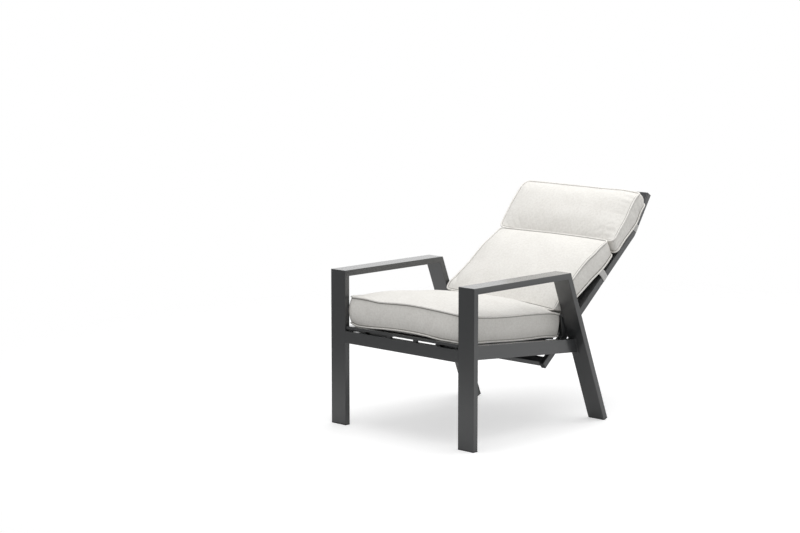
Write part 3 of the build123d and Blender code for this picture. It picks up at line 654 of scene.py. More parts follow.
def rounded(node, looks, radius, axes=()):
    """Stands a copy of a CAD node in its place, with rounded edges. Looks are finish and slot, and
    the slot is not used.

    With axes given, only edges that run along one of them are rounded, so mitres stay shut."""
    finish, slot = looks
    source = NODES[node]
    work = bmesh.new()
    work.from_mesh(source.data)
    bmesh.ops.remove_doubles(work, verts=work.verts, dist=MERGE_DISTANCE)
    bmesh.ops.dissolve_limit(work, angle_limit=FLAT_ANGLE, verts=work.verts, edges=work.edges)
    chosen = []
    for edge in work.edges:
        if len(edge.link_faces) != 2 or not edge.is_convex:
            continue
        if edge.calc_face_angle(0.0) < SHARP_ANGLE:
            continue
        if min(face.calc_area() for face in edge.link_faces) < LEAST_FACE * edge.calc_length():
            continue
        run = (edge.verts[1].co - edge.verts[0].co).normalized()
        if axes and max(abs(run.dot(axis)) for axis in axes) < ALONG_ENOUGH:
            continue
        chosen.append(edge)
    bmesh.ops.bevel(
        work,
        geom=chosen,
        offset=radius,
        offset_type="OFFSET",
        segments=EDGE_SEGMENTS,
        profile=0.5,
        affect="EDGES",
        clamp_overlap=True,
    )
    mesh = bpy.data.meshes.new(node)
    work.to_mesh(mesh)
    work.free()
    mesh.polygons.foreach_set("use_smooth", [True] * len(mesh.polygons))
    mesh.set_sharp_from_angle(angle=SHADING_ANGLE)
    with trial(mesh) as holder:
        holder.modifiers.new("normals", "WEIGHTED_NORMAL").keep_sharp = True
        finished = plain_mesh(holder)
    shown(node + "_rounded", finished, source["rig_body"], palette[finish], slot, (node,))


# Smooth lines


def smooth_line(marks, steps=16):
    """A smooth line of points through marks, in as many dimensions as they have."""
    marks = np.array(marks, float)
    gaps = np.linalg.norm(np.diff(marks, axis=0), axis=1)
    leans = np.zeros_like(marks)
    chords = np.diff(marks, axis=0) / gaps[:, None]
    weights = gaps[:, None]
    inner = weights[1:] * chords[:-1] + weights[:-1] * chords[1:]
    leans[1:-1] = inner / (weights[1:] + weights[:-1])
    leans[0], leans[-1] = chords[0], chords[-1]
    share = np.linspace(0, 1, steps, endpoint=False)[:, None]
    parts = []
    for index, gap in enumerate(gaps):
        parts.append(
            marks[index] * (2 * share**3 - 3 * share**2 + 1)
            + leans[index] * gap * (share**3 - 2 * share**2 + share)
            + marks[index + 1] * (3 * share**2 - 2 * share**3)
            + leans[index + 1] * gap * (share**3 - share**2)
        )
    return np.vstack(parts + [marks[-1:]])


def run_of(line):
    """The distance run at each point of a line."""
    steps = np.linalg.norm(np.diff(line, axis=0), axis=1)
    return np.concatenate([[0.0], np.cumsum(steps)])


def at_runs(line, runs):
    known = run_of(line)
    columns = [np.interp(runs, known, line[:, column]) for column in range(line.shape[1])]
    return np.stack(columns, axis=-1)


CORNER_STEPS = 8
SIDE_STEPS = 200


def rounded_ring(sides, cells, corner):
    """A closed ring from four smooth sides, its corners cut by a curve that starts and ends at a
    distance from each. The grid's own corners lie on the middles of those curves."""
    lines = [smooth_line(side) for side in sides]
    curves = []
    share = np.linspace(0, 1, CORNER_STEPS + 1)[:, None]
    for index, line in enumerate(lines):
        before = lines[index - 1]
        start = at_runs(before, [run_of(before)[-1] - corner])[0]
        end = at_runs(line, [corner])[0]
        peak = line[0]
        curves.append(start * (1 - share) ** 2 + peak * 2 * share * (1 - share) + end * share**2)
    ring = []
    for index, line in enumerate(lines):
        total = run_of(line)[-1]
        straight = at_runs(line, np.linspace(corner, total - corner, SIDE_STEPS)[1:-1])
        after = curves[(index + 1) % len(curves)][: CORNER_STEPS // 2 + 1]
        path = np.vstack([curves[index][CORNER_STEPS // 2 :], straight, after])
        runs = np.linspace(0, run_of(path)[-1], cells[index] + 1)[:-1]
        ring.append(at_runs(path, runs))
    return np.vstack(ring)


def filled(ring, across, along):
    """A grid that fills a closed ring, which runs across, along, back across and back along."""
    low = ring[: across + 1]
    near = ring[across : across + along + 1]
    high = ring[across + along : 2 * across + along + 1][::-1]
    far = np.vstack([ring[2 * across + along :], ring[:1]])[::-1]
    u = np.linspace(0, 1, across + 1)[:, None, None]
    v = np.linspace(0, 1, along + 1)[None, :, None]
    sides = (1 - v) * low[:, None] + v * high[:, None] + (1 - u) * far[None] + u * near[None]
    corners = (1 - u) * (1 - v) * low[0] + u * (1 - v) * low[-1]
    corners = corners + (1 - u) * v * high[0] + u * v * high[-1]
    return sides - corners


def pillow(across, along, powers):
    """1 in the middle of a grid and 0 along its edges. The powers say how full it stays
    towards its sides, its low end and its high end."""
    u = np.abs(np.linspace(-1, 1, across + 1))[:, None]
    v = np.linspace(-1, 1, along + 1)[None, :]
    ends = np.where(v < 0, np.abs(v) ** powers[1], np.abs(v) ** powers[2])
    return (1 - u ** powers[0]) * (1 - ends)


def folds(run, spacing, seed):
    """An uneven wave along a seam, whose folds come at about the given spacing."""
    first = np.sin(2 * np.pi * run / spacing + seed)
    second = np.sin(2 * np.pi * run / (spacing * 1.47) + 2.1 * seed)
    third = np.sin(2 * np.pi * run / (spacing * 2.3) + 3.7 * seed)
    fade = 0.6 + 0.4 * np.sin(2 * np.pi * run / (spacing * 9.1) + seed)
    return (first * 0.5 + second * 0.3 + third * 0.2) * fade


# Cushions

SWELL_REACH = 45.0
FOLD_SIZE = 18 * MM
FOLD_STRETCH = 0.15
FOLD_SHARE = 0.45
BAND_SHARE = 0.8
GATHER_FADE = 40.0
# Painted shade beside a cushion's seams, for the cord's shadow: how dark the cloth is made at
# rings of points, from the low seam to the high one
BAND_PAINTED_SHADE = {0: 1.0, 1: 0.5, -2: 0.55, -1: 1.0}
PANEL_PAINTED_SHADE = 0.25


def joined(*sides):
    """Sides of a ring that are each given without their first point, the last side's end."""
    return [[before[-1], *side] for before, side in zip((sides[-1], *sides), sides)]


class Cushion:
    """A loose cushion: two panels inside piped seams, and the band between the seams.

    Its points are millimetres across, along and above in the frame of its place."""

    def __init__(self, name, place, cell, rows, corner, low_sides, high_sides):
        """Takes the size of a panel's cells, the band's count of rows, how far from a corner its
        curve starts, and the four sides of each seam."""
        self.name, self.place, self.rows = name, place, rows
        width = abs(low_sides[0][-1][0] - low_sides[0][0][0])
        length = abs(low_sides[1][-1][1] - low_sides[1][0][1])
        self.across, self.along = round(width / cell), round(length / cell)
        cells = (self.across, self.along, self.across, self.along)
        self.low = rounded_ring(low_sides, cells, corner)
        self.high = rounded_ring(high_sides, cells, corner)
        self.count = 2 * (self.across + self.along)

    def shape(self, bulges, crown, crown_powers, rest, rest_powers):
        """Makes the points: bulges of the band at its low end, high end, sides and the corners
        of its low end, a crown on the high panel, and a low panel that lies on its rest."""
        ahead = np.roll(self.high, -1, axis=0) - np.roll(self.high, 1, axis=0)
        outward = np.stack([ahead[:, 1], -ahead[:, 0]], axis=1)
        outward /= np.linalg.norm(outward, axis=1, keepdims=True)
        self.outward = outward
        ends = np.where(outward[:, 1] < 0, bulges[0], bulges[1])
        proud = bulges[2] * outward[:, 0] ** 2 + ends * outward[:, 1] ** 2
        away = np.abs(np.array([self.low[:, :2] - self.low[i, :2] for i in (0, self.across)]))
        proud += bulges[3] * np.exp(-away.sum(axis=2).min(axis=0) / SWELL_REACH)
        self.band = []
        for row in range(self.rows + 1):
            share = row / self.rows
            ring = self.low * (1 - share) + self.high * share
            ring[:, :2] += outward * (proud * 4 * share * (1 - share))[:, None]
            self.band.append(ring)
        self.high_panel = filled(self.high, self.across, self.along)
        self.high_panel[..., 2] += crown * pillow(self.across, self.along, crown_powers)
        self.low_panel = filled(self.low, self.across, self.along)
        floor = rest(self.low_panel[..., 0], self.low_panel[..., 1])
        lying = pillow(self.across, self.along, rest_powers)
        drop = (floor - self.low_panel[..., 2]) * lying
        self.low_panel[..., 2] = np.maximum(self.low_panel[..., 2] + drop, floor)

    def ring_step(self, i, j):
        """The ring's step at the edge of a panel, or None inside it."""
        if j == 0:
            return i
        if i == self.across:
            return self.across + j
        if j == self.along:
            return 2 * self.across + self.along - i
        if i == 0:
            return self.count - j
        return None

    def mesh(self):
        """Joins band and panels in one closed mesh whose weave map lies flat on each."""
        points = [self.place(*point) for ring in self.band for point in ring]
        self.panel_index = {}
        panels = {"low": self.low_panel, "high": self.high_panel}
        kinds = ["band"] * len(points)
        for side, panel in panels.items():
            index = np.zeros((self.across + 1, self.along + 1), int)
            base = 0 if side == "low" else self.rows * self.count
            for i in range(self.across + 1):
                for j in range(self.along + 1):
                    step = self.ring_step(i, j)
                    if step is not None:
                        index[i, j] = base + step % self.count
                        continue
                    index[i, j] = len(points)
                    points.append(self.place(*panel[i, j]))
                    kinds.append(side)
            self.panel_index[side] = index
        self.kinds = np.array(kinds)
        faces, corners = self.band_faces()
        for side, panel in panels.items():
            index = self.panel_index[side]
            for i in range(self.across):
                for j in range(self.along):
                    cell = [(i, j), (i + 1, j), (i + 1, j + 1), (i, j + 1)]
                    cell = cell if side == "high" else cell[::-1]
                    faces.append([int(index[spot]) for spot in cell])
                    corners += [tuple(panel[spot][:2]) for spot in cell]
        return mesh_of(self.name, points, faces, corners)

    def band_faces(self):
        middle = self.band[self.rows // 2]
        run = run_of(np.vstack([middle, middle[:1]]))
        rise = run_of(np.array([ring[self.across // 2] for ring in self.band]))
        faces, corners = [], []
        for row in range(self.rows):
            for step in range(self.count):
                after = (step + 1) % self.count
                here, above = row * self.count, (row + 1) * self.count
                faces.append([here + step, here + after, above + after, above + step])
                corners += [
                    (run[step], rise[row]),
                    (run[step + 1], rise[row]),
                    (run[step + 1], rise[row + 1]),
                    (run[step], rise[row + 1]),
                ]
        return faces, corners

    def seam(self, row):
        """The numbers of a seam's points: row 0 is the low seam and the last the high one."""
        first = row * self.count
        return np.arange(first, first + self.count)

    def settle(self, mesh, limits, stretch):
        """Lets the filling swell the cover between its seams, as cloth, up to a limit in
        millimetres for the low panel, the high panel and the band."""
        covers = bpy.context.scene.armchair_cushions
        held = np.concatenate([self.seam(0), self.seam(self.rows)])
        kinds = [self.kinds == side for side in ("low", "high")]
        limit = np.select(kinds, limits[:2], limits[2]) * MM
        before = coordinates(mesh)
        with trial(mesh) as holder:
            after = swollen(holder, held, covers.pressure, covers.settling_steps, stretch)
        move = after - before
        size = np.linalg.norm(move, axis=1)
        eased = limit * np.tanh(size / limit)
        move *= (eased / np.maximum(size, 1e-9))[:, None]
        move_to(mesh, before + move)

    def near_and_far(self):
        """The first and last step of the side at the sitter's left, and of all the others."""
        beyond = self.across + self.along
        return (self.across, beyond), (beyond, self.count + self.across)

    def pucker(self, mesh, seams):
        """Gathers the cloth beside seams. Each is a row, first and last step, depth, reach,
        spacing and seed."""
        points = coordinates(mesh)
        shift = np.zeros(len(points))
        for row, (first, last), depth, reach, spacing, seed in seams:
            steps = np.arange(first, last + 1)
            ring = points[self.seam(row)][steps % self.count] / MM
            run = run_of(ring)
            wave = folds(run, spacing, seed)
            ends = np.clip(np.minimum(run, run[-1] - run) / GATHER_FADE, 0, 1)
            for number, step in enumerate(steps):
                for column in self.columns(row, step):
                    distance = run_of(points[column] / MM)
                    fall = distance / reach * np.exp(1 - distance / reach)
                    shift[column] += depth * wave[number] * ends[number] * fall
        move_to(mesh, points + normals_of(mesh) * (shift * MM)[:, None])

    def columns(self, row, step):
        """Lines of points that run square from a seam into the panel and into the band."""
        step = step % self.count
        toward = 1 if row == 0 else -1
        middle = self.rows // 2
        band = [(row + toward * count) * self.count + step for count in range(middle + 1)]
        index = self.panel_index["low" if row == 0 else "high"]
        if step <= self.across:
            line = index[step, : self.along // 2]
        elif step <= self.across + self.along:
            line = index[::-1][: self.across // 2, step - self.across]
        elif step <= 2 * self.across + self.along:
            line = index[2 * self.across + self.along - step, ::-1][: self.along // 2]
        else:
            line = index[: self.across // 2, self.count - step]
        return [np.array(band), np.array(line)]

    def undulate(self, mesh, height, size, seed):
        """Gives the panels the soft unevenness of a used filling, none of it at the seams."""
        points = coordinates(mesh)
        mask = np.zeros(len(points))
        for index in self.panel_index.values():
            mask[index] = pillow(self.across, self.along, (4, 4, 4))
        for row in range(self.rows + 1):
            mask[self.seam(row)] = math.sin(math.pi * row / self.rows) * BAND_SHARE
        start = Vector((seed, seed, seed))
        waves = [noise.noise(Vector(point) / size + start) for point in points]
        upright = self.local(points) * (MM, MM, MM * FOLD_STRETCH)
        for spot in range(self.count * (self.rows + 1)):
            waves[spot] += noise.noise(Vector(upright[spot]) / FOLD_SIZE) * FOLD_SHARE
        wave = np.array(waves) * mask * height * MM
        move_to(mesh, points + normals_of(mesh) * wave[:, None])

    def lay(self, mesh, rest):
        """Lifts whatever sank into what carries the cushion."""
        points = coordinates(mesh)
        local = self.local(points)
        floor = rest(local[:, 0], local[:, 1])
        lift = np.maximum(floor - local[:, 2], 0)
        above = np.array(self.place(0, 0, 1) - self.place(0, 0, 0)) / MM
        move_to(mesh, points + above[None] * (lift * MM)[:, None])

    def local(self, points):
        """World points in the frame of the cushion's place, in millimetres."""
        origin = np.array(self.place(0, 0, 0))
        axes = [np.array(self.place(*unit)) - origin for unit in ((1, 0, 0), (0, 1, 0), (0, 0, 1))]
        return (points - origin) @ np.array(axes).T / (MM * MM)

    def smooth(self, mesh):
        """Divides the cover once, with its seams kept."""
        creases = mesh.attributes.new("crease_edge", "FLOAT", "EDGE")
        seams = set(self.seam(0)) | set(self.seam(self.rows))
        values = [
            1.0 if edge.vertices[0] in seams and edge.vertices[1] in seams else 0.0
            for edge in mesh.edges
        ]
        creases.data.foreach_set("value", values)
        # The seam attribute is painted shade: the cloth finish darkens the cover with it beside
        # the cords.
        painted_shade_level = mesh.attributes.new("seam", "FLOAT", "CORNER")
        painted_shade_level.data.foreach_set("value", self.seam_painted_shade(mesh))
        with trial(mesh) as holder:
            modifier = holder.modifiers.new("divide", "SUBSURF")
            modifier.levels = modifier.render_levels = 1
            return plain_mesh(holder)

    def seam_painted_shade(self, mesh):
        """How much painted shade each face corner gets, 1 on a seam: the dark line that stands in
        for the cord's shadow beside it.
        The low panel has none, because its cord shades it enough."""
        level = np.zeros(len(mesh.vertices))
        for row, value in BAND_PAINTED_SHADE.items():
            level[self.seam(row % (self.rows + 1))] = value
        inside = self.panel_index["high"][1:-1, 1:-1]
        for edge in (inside[0], inside[-1], inside[:, 0], inside[:, -1]):
            level[edge] = PANEL_PAINTED_SHADE
        corners = np.zeros(len(mesh.loops), int)
        mesh.loops.foreach_get("vertex_index", corners)
        values = level[corners]
        low_panel = {int(spot) for spot in np.flatnonzero(self.kinds == "low")}
        for face in mesh.polygons:
            if not low_panel.isdisjoint(face.vertices):
                values[face.loop_start : face.loop_start + face.loop_total] = 0.0
        return values

    def piping(self, mesh, radius):
        """A covered cord that stands proud of both seams, sewn on between panel and band."""
        points = coordinates(mesh)
        origin = self.place(0, 0, 0)
        sideways = [np.array(self.place(x, y, 0) - origin) / MM for x, y in self.outward]
        stand = np.array(sideways) * radius * PIPING_STAND
        lines = [(points[self.seam(row)] + stand, True) for row in (0, self.rows)]
        return cord_mesh(self.name + "_piping", lines, radius, palette["piping"])

    def finish(self, body, mesh, fill, squeezed=None):
        """Shows the cover and its piping in place of the CAD node of the same name. Squeezed, the
        axis, anchor and share kept of a cushion pressed shorter as the back comes up, only gives
        the pieces meshes of their own: nothing is pressed."""
        radius = bpy.context.scene.armchair_cushions.piping_radius
        cover = self.smooth(mesh)
        cord = self.piping(cover, radius)
        slot, name = "cushion_cloth", self.name
        cover_piece = shown(name + "_cover", cover, body, palette["cloth"], slot, (name,))
        cord_piece = shown(name + "_piping", cord, body, palette["piping"], slot)
        if squeezed:
            axis, anchor, kept = squeezed
            for piece in (cover_piece, cord_piece):
                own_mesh(piece)
                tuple(axis)
                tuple(anchor)


def swollen(piece, held, pressure, steps, stretch):
    """Where the points of a closed cloth end up when it is filled and its seams are held."""
    group = piece.vertex_groups.new(name="held")
    group.add([int(number) for number in held], 1.0, "REPLACE")
    modifier = piece.modifiers.new("settle", "CLOTH")
    cloth = modifier.settings
    cloth.quality = 5
    cloth.mass = 0.3
    cloth.tension_stiffness = 15.0
    cloth.compression_stiffness = 15.0
    cloth.shear_stiffness = 5.0
    cloth.bending_stiffness = 0.5
    cloth.use_pressure = True
    cloth.uniform_pressure_force = pressure
    cloth.shrink_min = -stretch
    cloth.vertex_group_mass = group.name
    cloth.effector_weights.gravity = 0.0
    modifier.collision_settings.use_collision = False
    modifier.point_cache.frame_start = 1
    modifier.point_cache.frame_end = steps
    for step in range(1, steps + 1):
        bpy.context.scene.frame_set(step)
    after = coordinates(piece.evaluated_get(bpy.context.evaluated_depsgraph_get()).data)
    piece.modifiers.remove(modifier)
    bpy.context.scene.frame_set(1)
    return after


CORD_SIDES = 10
CORD_STEP = 3.5 * MM
PIPING_STAND = 0.8


def cord_mesh(name, lines, radius, material):
    """Round cord along lines of points, made by a node tree."""
    recipe = Recipe("cord", ("Radius", "Step"))
    curve = recipe.node("GeometryNodeMeshToCurve", None, {"Mesh": recipe.guide})
    sockets = {"Curve": curve, "Length": recipe.given("Step")}
    even = recipe.node("GeometryNodeResampleCurve", {"mode": "LENGTH"}, sockets)
    sockets = {"Resolution": CORD_SIDES, "Radius": recipe.given("Radius")}
    profile = recipe.node("GeometryNodeCurvePrimitiveCircle", None, sockets)
    sockets = {"Curve": even, "Profile Curve": profile, "Fill Caps": True}
    recipe.close(recipe.node("GeometryNodeCurveToMesh", None, sockets), material)
    return recipe.run(guide_of(name, lines), {"Radius": radius, "Step": CORD_STEP})


# Heights of what carries the cushions, with a little clearance, and a low level beside it
REST_CLEARANCE = 0.45
BESIDE = 5.0


def seat_rest(across, along):
    """Least height of the seat cushion's underside over the seat frame."""
    on_frame = np.abs(across) < SEAT_TUBE_OUTER_X + 4
    return np.where(on_frame, SEAT_BAR_TOP + REST_CLEARANCE, BESIDE)


def back_rest(across, along):
    """Least height of a cushion's rear over the back's sling and tubes, past the bend too."""
    reach = np.abs(across)
    level = np.where(reach < TUBE_INNER_X - 3, SLING_FRONT, TUBE_FRONT) + REST_CLEARANCE
    beyond = (level + along * math.sin(HEAD_BEND)) / math.cos(HEAD_BEND)
    return np.where(reach < TUBE_OUTER_X + 2.5, np.maximum(level, beyond), BESIDE)


def seat_cushion():
    """The seat cushion's seams: the front and the sitter's left follow the photograph."""
    front_x, side_x, rear_x = 288.0, 281.5, 272.5
    high = joined(
        [
            (-221, 2, 121.6), (-136, 2, 117.6), (-53, 2, 122.1), (29, 2, 124.8),
            (110, 2, 122.5), (190, 2, 118.8), (250, 3, 115), (front_x, 4, 112),
        ],
        [
            (side_x + 1, 92, 106.4), (side_x, 169, 103.4), (side_x, 255, 103.5),
            (side_x - 1, 342, 105.5), (side_x - 2, 431, 106.5), (276, 520, 104),
            (rear_x, 567, 96),
        ],
        [(140, 567, 98), (0, 567, 100), (-140, 567, 98), (-rear_x, 565, 97)],
        [
            (-275, 520, 103), (-side_x, 380, 111), (-side_x, 240, 113),
            (-side_x - 1, 110, 120), (-side_x - 4, 55, 123), (-front_x, -2, 121.5),
        ],
    )
    low = joined(
        [
            (-271, 4, 18), (-255, 4, 14), (-214, 4, 13), (-108, 4, 19), (-5, 4, 22.5),
            (97, 4, 20), (177, 4, 14), (232, 4, 13.6), (front_x, 5, 13.6),
        ],
        [
            (side_x + 1, 60, 12.5), (side_x, 102, 11.5), (side_x, 166, 11.5),
            (side_x, 243, 10.5), (side_x - 1, 321, 10.5), (side_x - 2, 400, 12.5),
            (side_x - 4, 468, 14.5), (276, 516, 12.5), (rear_x, 562, 14),
        ],
        [(140, 564, 14), (-140, 564, 14), (-rear_x, 562, 14)],
        [
            (-side_x + 2, 460, 12.5), (-side_x, 330, 11.5), (-side_x, 150, 12),
            (-side_x - 3, 50, 16), (-front_x, 4, 22),
        ],
    )
    cushion = Cushion("seat_cushion", seat_place, 7.0, 14, 9.0, low, high)
    cushion.shape(
        bulges=(7.0, 3.5, 2.0, 8.0),
        crown=36.0,
        crown_powers=(5.5, 4.4, 3.0),
        rest=seat_rest,
        rest_powers=(8, 50, 8),
    )
    mesh = cushion.mesh()
    cushion.settle(mesh, limits=(1.0, 7.0, 2.2), stretch=0.004)
    cushion.undulate(mesh, height=2.0, size=0.11, seed=3.0)
    around = (0, cushion.count)
    seams = ((0, around, 0.4, 9.0, 23.0, 1.3), (14, around, 0.6, 11.0, 26.0, 4.1))
    cushion.pucker(mesh, seams)
    cushion.lay(mesh, seat_rest)
    cushion.finish("base", mesh, 0.75)


def back_cushion():
    """The back cushion: its lower end stands forward off the frame, over the seat."""
    width = 275.0
    high = joined(
        [(-140, -517, 149), (0, -518, 146), (140, -521, 141.5), (width, -529, 135.5)],
        [
            (width + 1, -480, 143), (width + 1, -433, 149), (width + 1, -362, 146),
            (width, -320, 143.5), (width, -260, 136), (width, -223, 127),
            (width - 1, -174, 117), (width - 1, -130, 103),
        ],
        [(150, -127, 106), (0, -126, 108), (-150, -126, 107), (-width + 1, -125, 106)],
        [
            (-width, -190, 119), (-width, -250, 130), (-width - 1, -357, 137),
            (-width - 1, -433, 148.5), (-width - 1, -487, 157), (-width, -512, 153),
        ],
    )
    low = joined(
        [(-140, -497, 81), (0, -498, 79), (140, -497, 81), (width, -493, 85)],
        [
            (width, -450, 81), (width, -394, 73), (width, -350, 66), (width, -289, 57),
            (width, -242, 47), (width, -206, 42), (width - 1, -142, 41),
        ],
        [(150, -143, 40), (0, -143, 39), (-150, -143, 40), (-width + 1, -142, 41)],
        [
            (-width, -215, 43), (-width, -289, 56), (-width, -350, 66),
            (-width, -430, 79), (-width, -494, 86),
        ],
    )
    cushion = Cushion("back_cushion", back_place, 6.6, 10, 14.0, low, high)
    cushion.shape(
        bulges=(1.0, 5.5, 2.0, 1.0),
        crown=16.0,
        crown_powers=(4.0, 3.0, 4.4),
        rest=back_rest,
        rest_powers=(5, 5, 5),
    )
    mesh = cushion.mesh()
    cushion.settle(mesh, limits=(1.0, 11.0, 2.4), stretch=0.006)
    cushion.undulate(mesh, height=2.4, size=0.1, seed=7.0)
    near, round_far = cushion.near_and_far()
    seams = (
        (0, near, 1.4, 12.0, 34.0, 2.2),
        (10, near, 1.0, 12.0, 30.0, 5.4),
        (0, round_far, 0.5, 9.0, 25.0, 0.7),
        (10, round_far, 0.6, 11.0, 24.0, 3.3),
    )
    cushion.pucker(mesh, seams)
    cushion.lay(mesh, back_rest)
    cushion.finish("back", mesh, 0.7, (UP_BACK, back_place(0, -130, 100), 0.915))


def head_cushion():
    """The head cushion lies over the bend, and its ends hang a little past the tubes."""
    width = 287.0
    high = joined(
        [(-150, -119, 98), (0, -121, 96), (150, -119, 93), (width, -114, 90.5)],
        [
            (width + 1, -74, 97.4), (width + 1, 2, 106.7), (width, 62, 120),
            (width, 104, 122), (width - 1, 124, 113.5),
        ],
        [
            (200, 131, 114.5), (100, 133, 112), (0, 134, 113), (-150, 133, 116),
            (-width - 1, 129, 122),
        ],
        [
            (-width - 4, 104, 130), (-width - 5, 40, 127), (-width - 3, -47, 115),
            (-width, -113, 103),
        ],
    )
    low = joined(
        [(-150, -131, 43), (0, -132, 43), (150, -131, 42), (width, -127, 41)],
        [
            (width, -60, 43.7), (width, -17, 41), (width, 42, 43), (width, 76, 55),
            (width, 120, 60.5),
        ],
        [(240, 118, 65), (0, 117, 66), (-240, 118, 65), (-width, 120, 60.5)],
        [
            (-width - 2, 76, 54), (-width - 2, 20, 43), (-width, -60, 43),
            (-width, -129, 43),
        ],
    )
    cushion = Cushion("head_cushion", back_place, 5.6, 10, 14.0, low, high)
    cushion.shape(
        bulges=(2.6, 12.0, 2.4, 2.0),
        crown=26.0,
        crown_powers=(4.0, 3.0, 5.0),
        rest=back_rest,
        rest_powers=(5, 5, 5),
    )
    mesh = cushion.mesh()
    cushion.settle(mesh, limits=(1.0, 10.0, 2.6), stretch=0.006)
    cushion.undulate(mesh, height=2.2, size=0.09, seed=11.0)
    near, round_far = cushion.near_and_far()
    seams = (
        (10, near, 2.4, 21.0, 26.0, 1.9),
        (0, near, 1.3, 12.0, 27.0, 2.9),
        (0, round_far, 0.5, 9.0, 25.0, 0.4),
        (10, round_far, 0.7, 11.0, 24.0, 5.1),
    )
    cushion.pucker(mesh, seams)
    cushion.lay(mesh, back_rest)
    cushion.finish("back", mesh, 0.75)


# Slings and straps


def closed_sheet(name, front, rear, across_run, along_run):
    """A closed sheet between two grids of world points, with a weave map."""
    wide, long = front.shape[:2]
    points = [tuple(point) for point in front.reshape(-1, 3)]
    points += [tuple(point) for point in rear.reshape(-1, 3)]
    other = wide * long
    faces, corners = [], []

    def add(cell):
        faces.append([spot[0] * long + spot[1] + spot[2] * other for spot in cell])
        corners.extend((across_run[spot[0]], along_run[spot[1]]) for spot in cell)

    for i in range(wide - 1):
        for j in range(long - 1):
            add([(i, j, 0), (i + 1, j, 0), (i + 1, j + 1, 0), (i, j + 1, 0)])
            add([(i, j, 1), (i, j + 1, 1), (i + 1, j + 1, 1), (i + 1, j, 1)])
    for i in range(wide - 1):
        add([(i, 0, 1), (i + 1, 0, 1), (i + 1, 0, 0), (i, 0, 0)])
        add([(i, long - 1, 0), (i + 1, long - 1, 0), (i + 1, long - 1, 1), (i, long - 1, 1)])
    for j in range(long - 1):
        add([(wide - 1, j, 1), (wide - 1, j + 1, 1), (wide - 1, j + 1, 0), (wide - 1, j, 0)])
        add([(0, j, 0), (0, j + 1, 0), (0, j + 1, 1), (0, j, 1)])
    return mesh_of(name, points, faces, corners)


SLING_CELL = 12.0
SLING_SAG = 3.5
SLING_THICKNESS = 1.5
KEDER_RADIUS = 1.9


def sling(name, node, body, edge_x, top, stations):
    """A stretched sling that sags a little. Stations are places with a distance along."""
    wide = round(2 * edge_x / SLING_CELL)
    across = np.linspace(-edge_x, edge_x, wide + 1)
    dip = pillow(wide, len(stations) - 1, (2, 2, 2)) * SLING_SAG
    marks = list(enumerate(stations))

    def face(height):
        rows = [
            [place(x, along, height - dip[i, j]) for j, (place, along) in marks]
            for i, x in enumerate(across)
        ]
        return np.array(rows)

    runs = [along for place, along in stations]
    mesh = closed_sheet(name, face(top), face(top - SLING_THICKNESS), across, runs)
    piece = shown(name, mesh, body, palette["sling"], "sling_mesh", (node,))
    keder_x = edge_x - KEDER_RADIUS
    lines = [
        ([place(side * keder_x, along, top) for place, along in stations], False)
        for side in (-1, 1)
    ]
    cords = cord_mesh(name + "_cords", lines, KEDER_RADIUS * MM, palette["sling"])
    keder = shown(name + "_cords", cords, body, palette["plastic"], "black_plastic")
    (runs[-1] - runs[0]) * MM


def seat_sling():
    count = round((SEAT_SLING_END - SEAT_SLING_START) / SLING_CELL)
    runs = np.linspace(SEAT_SLING_START, SEAT_SLING_END, count + 1)
    stations = [(seat_place, along) for along in runs]
    top = SEAT_SLING_TOP
    sling("seat_sling_cloth", "seat_sling", "base", SEAT_SLING_X, top, stations)


def back_sling():
    """The back's sling follows the bend of its tubes, with a short bow across it."""
    stations = [(back_place, along) for along in np.linspace(BACK_SLING_START, -6, 46)]
    stations += [(head_place, along) for along in np.linspace(6, BACK_SLING_END, 15)]
    top = SLING_FRONT
    sling("back_sling_cloth", "back_sling", "back", TUBE_INNER_X, top, stations)


STRAP_WIDTH = 30.0
STRAP_THICKNESS = 1.2
STRAP_CLEARANCE = 0.1


def strap(name, node, place, center, reach, seam_x):
    """An elastic strap from one side of a cushion's rear seam, round both tubes, to the other.
    Center is its middle along the back, and reach the height of the seam at seam_x."""
    half = STRAP_THICKNESS / 2
    under = -half - STRAP_CLEARANCE
    outer = TUBE_OUTER_X + half + 0.15
    side = [(seam_x, reach), (outer + 0.6, TUBE_FRONT + 2), (outer, TUBE_FRONT - 4), (outer, 3.0)]
    turn = [(outer - 0.6, 0.6), (outer - 3.0, under)]
    flat = [(x, under) for x in np.linspace(TUBE_OUTER_X - 8, 20, 12)]
    right = np.vstack([smooth_line(side + turn, 6), flat])
    left = right[::-1] * np.array([-1.0, 1.0])
    line = np.vstack([right, [(0.0, under)], left])
    ahead = np.gradient(line, axis=0)
    ahead /= np.linalg.norm(ahead, axis=1, keepdims=True)
    outward = np.stack([-ahead[:, 1], ahead[:, 0]], axis=1)
    runs = run_of(line)
    across = np.linspace(center - STRAP_WIDTH / 2, center + STRAP_WIDTH / 2, 7)
    front = np.array([[place(x, s, n) for x, n in line - outward * half] for s in across])
    rear = np.array([[place(x, s, n) for x, n in line + outward * half] for s in across])
    mesh = closed_sheet(name, front, rear, across, runs)
    piece = shown(name, mesh, "back", palette["elastic"], "elastic_strap", (node,))
    runs[-1] * MM


# Operators and their panel


# Axes of the tubes, along which their edges are rounded
ACROSS = Vector((1, 0, 0))
LEVEL = Vector((0, 1, 0))
UPRIGHT = Vector((0, 0, 1))
DOWN_LEG = Vector((0, math.sin(REAR_LEAN), -math.cos(REAR_LEAN)))
DOWN_SEAT = Vector((0, math.cos(SEAT_SLOPE), -math.sin(SEAT_SLOPE)))
UP_BACK = Vector((0, math.cos(BACK_ANGLE), math.sin(BACK_ANGLE)))
UP_HEAD = Vector((0, math.cos(BACK_ANGLE + HEAD_BEND), math.sin(BACK_ANGLE + HEAD_BEND)))

# The white floor: its reach, its glow in gloss, and where and between which distances it fades
FLOOR_REACH = 9.0
GLOSS_GLOW = 0.3
FADE_PLACE = (0.2, 0.7, 0.0)
FADE_START, FADE_END = 1.5, 3.2


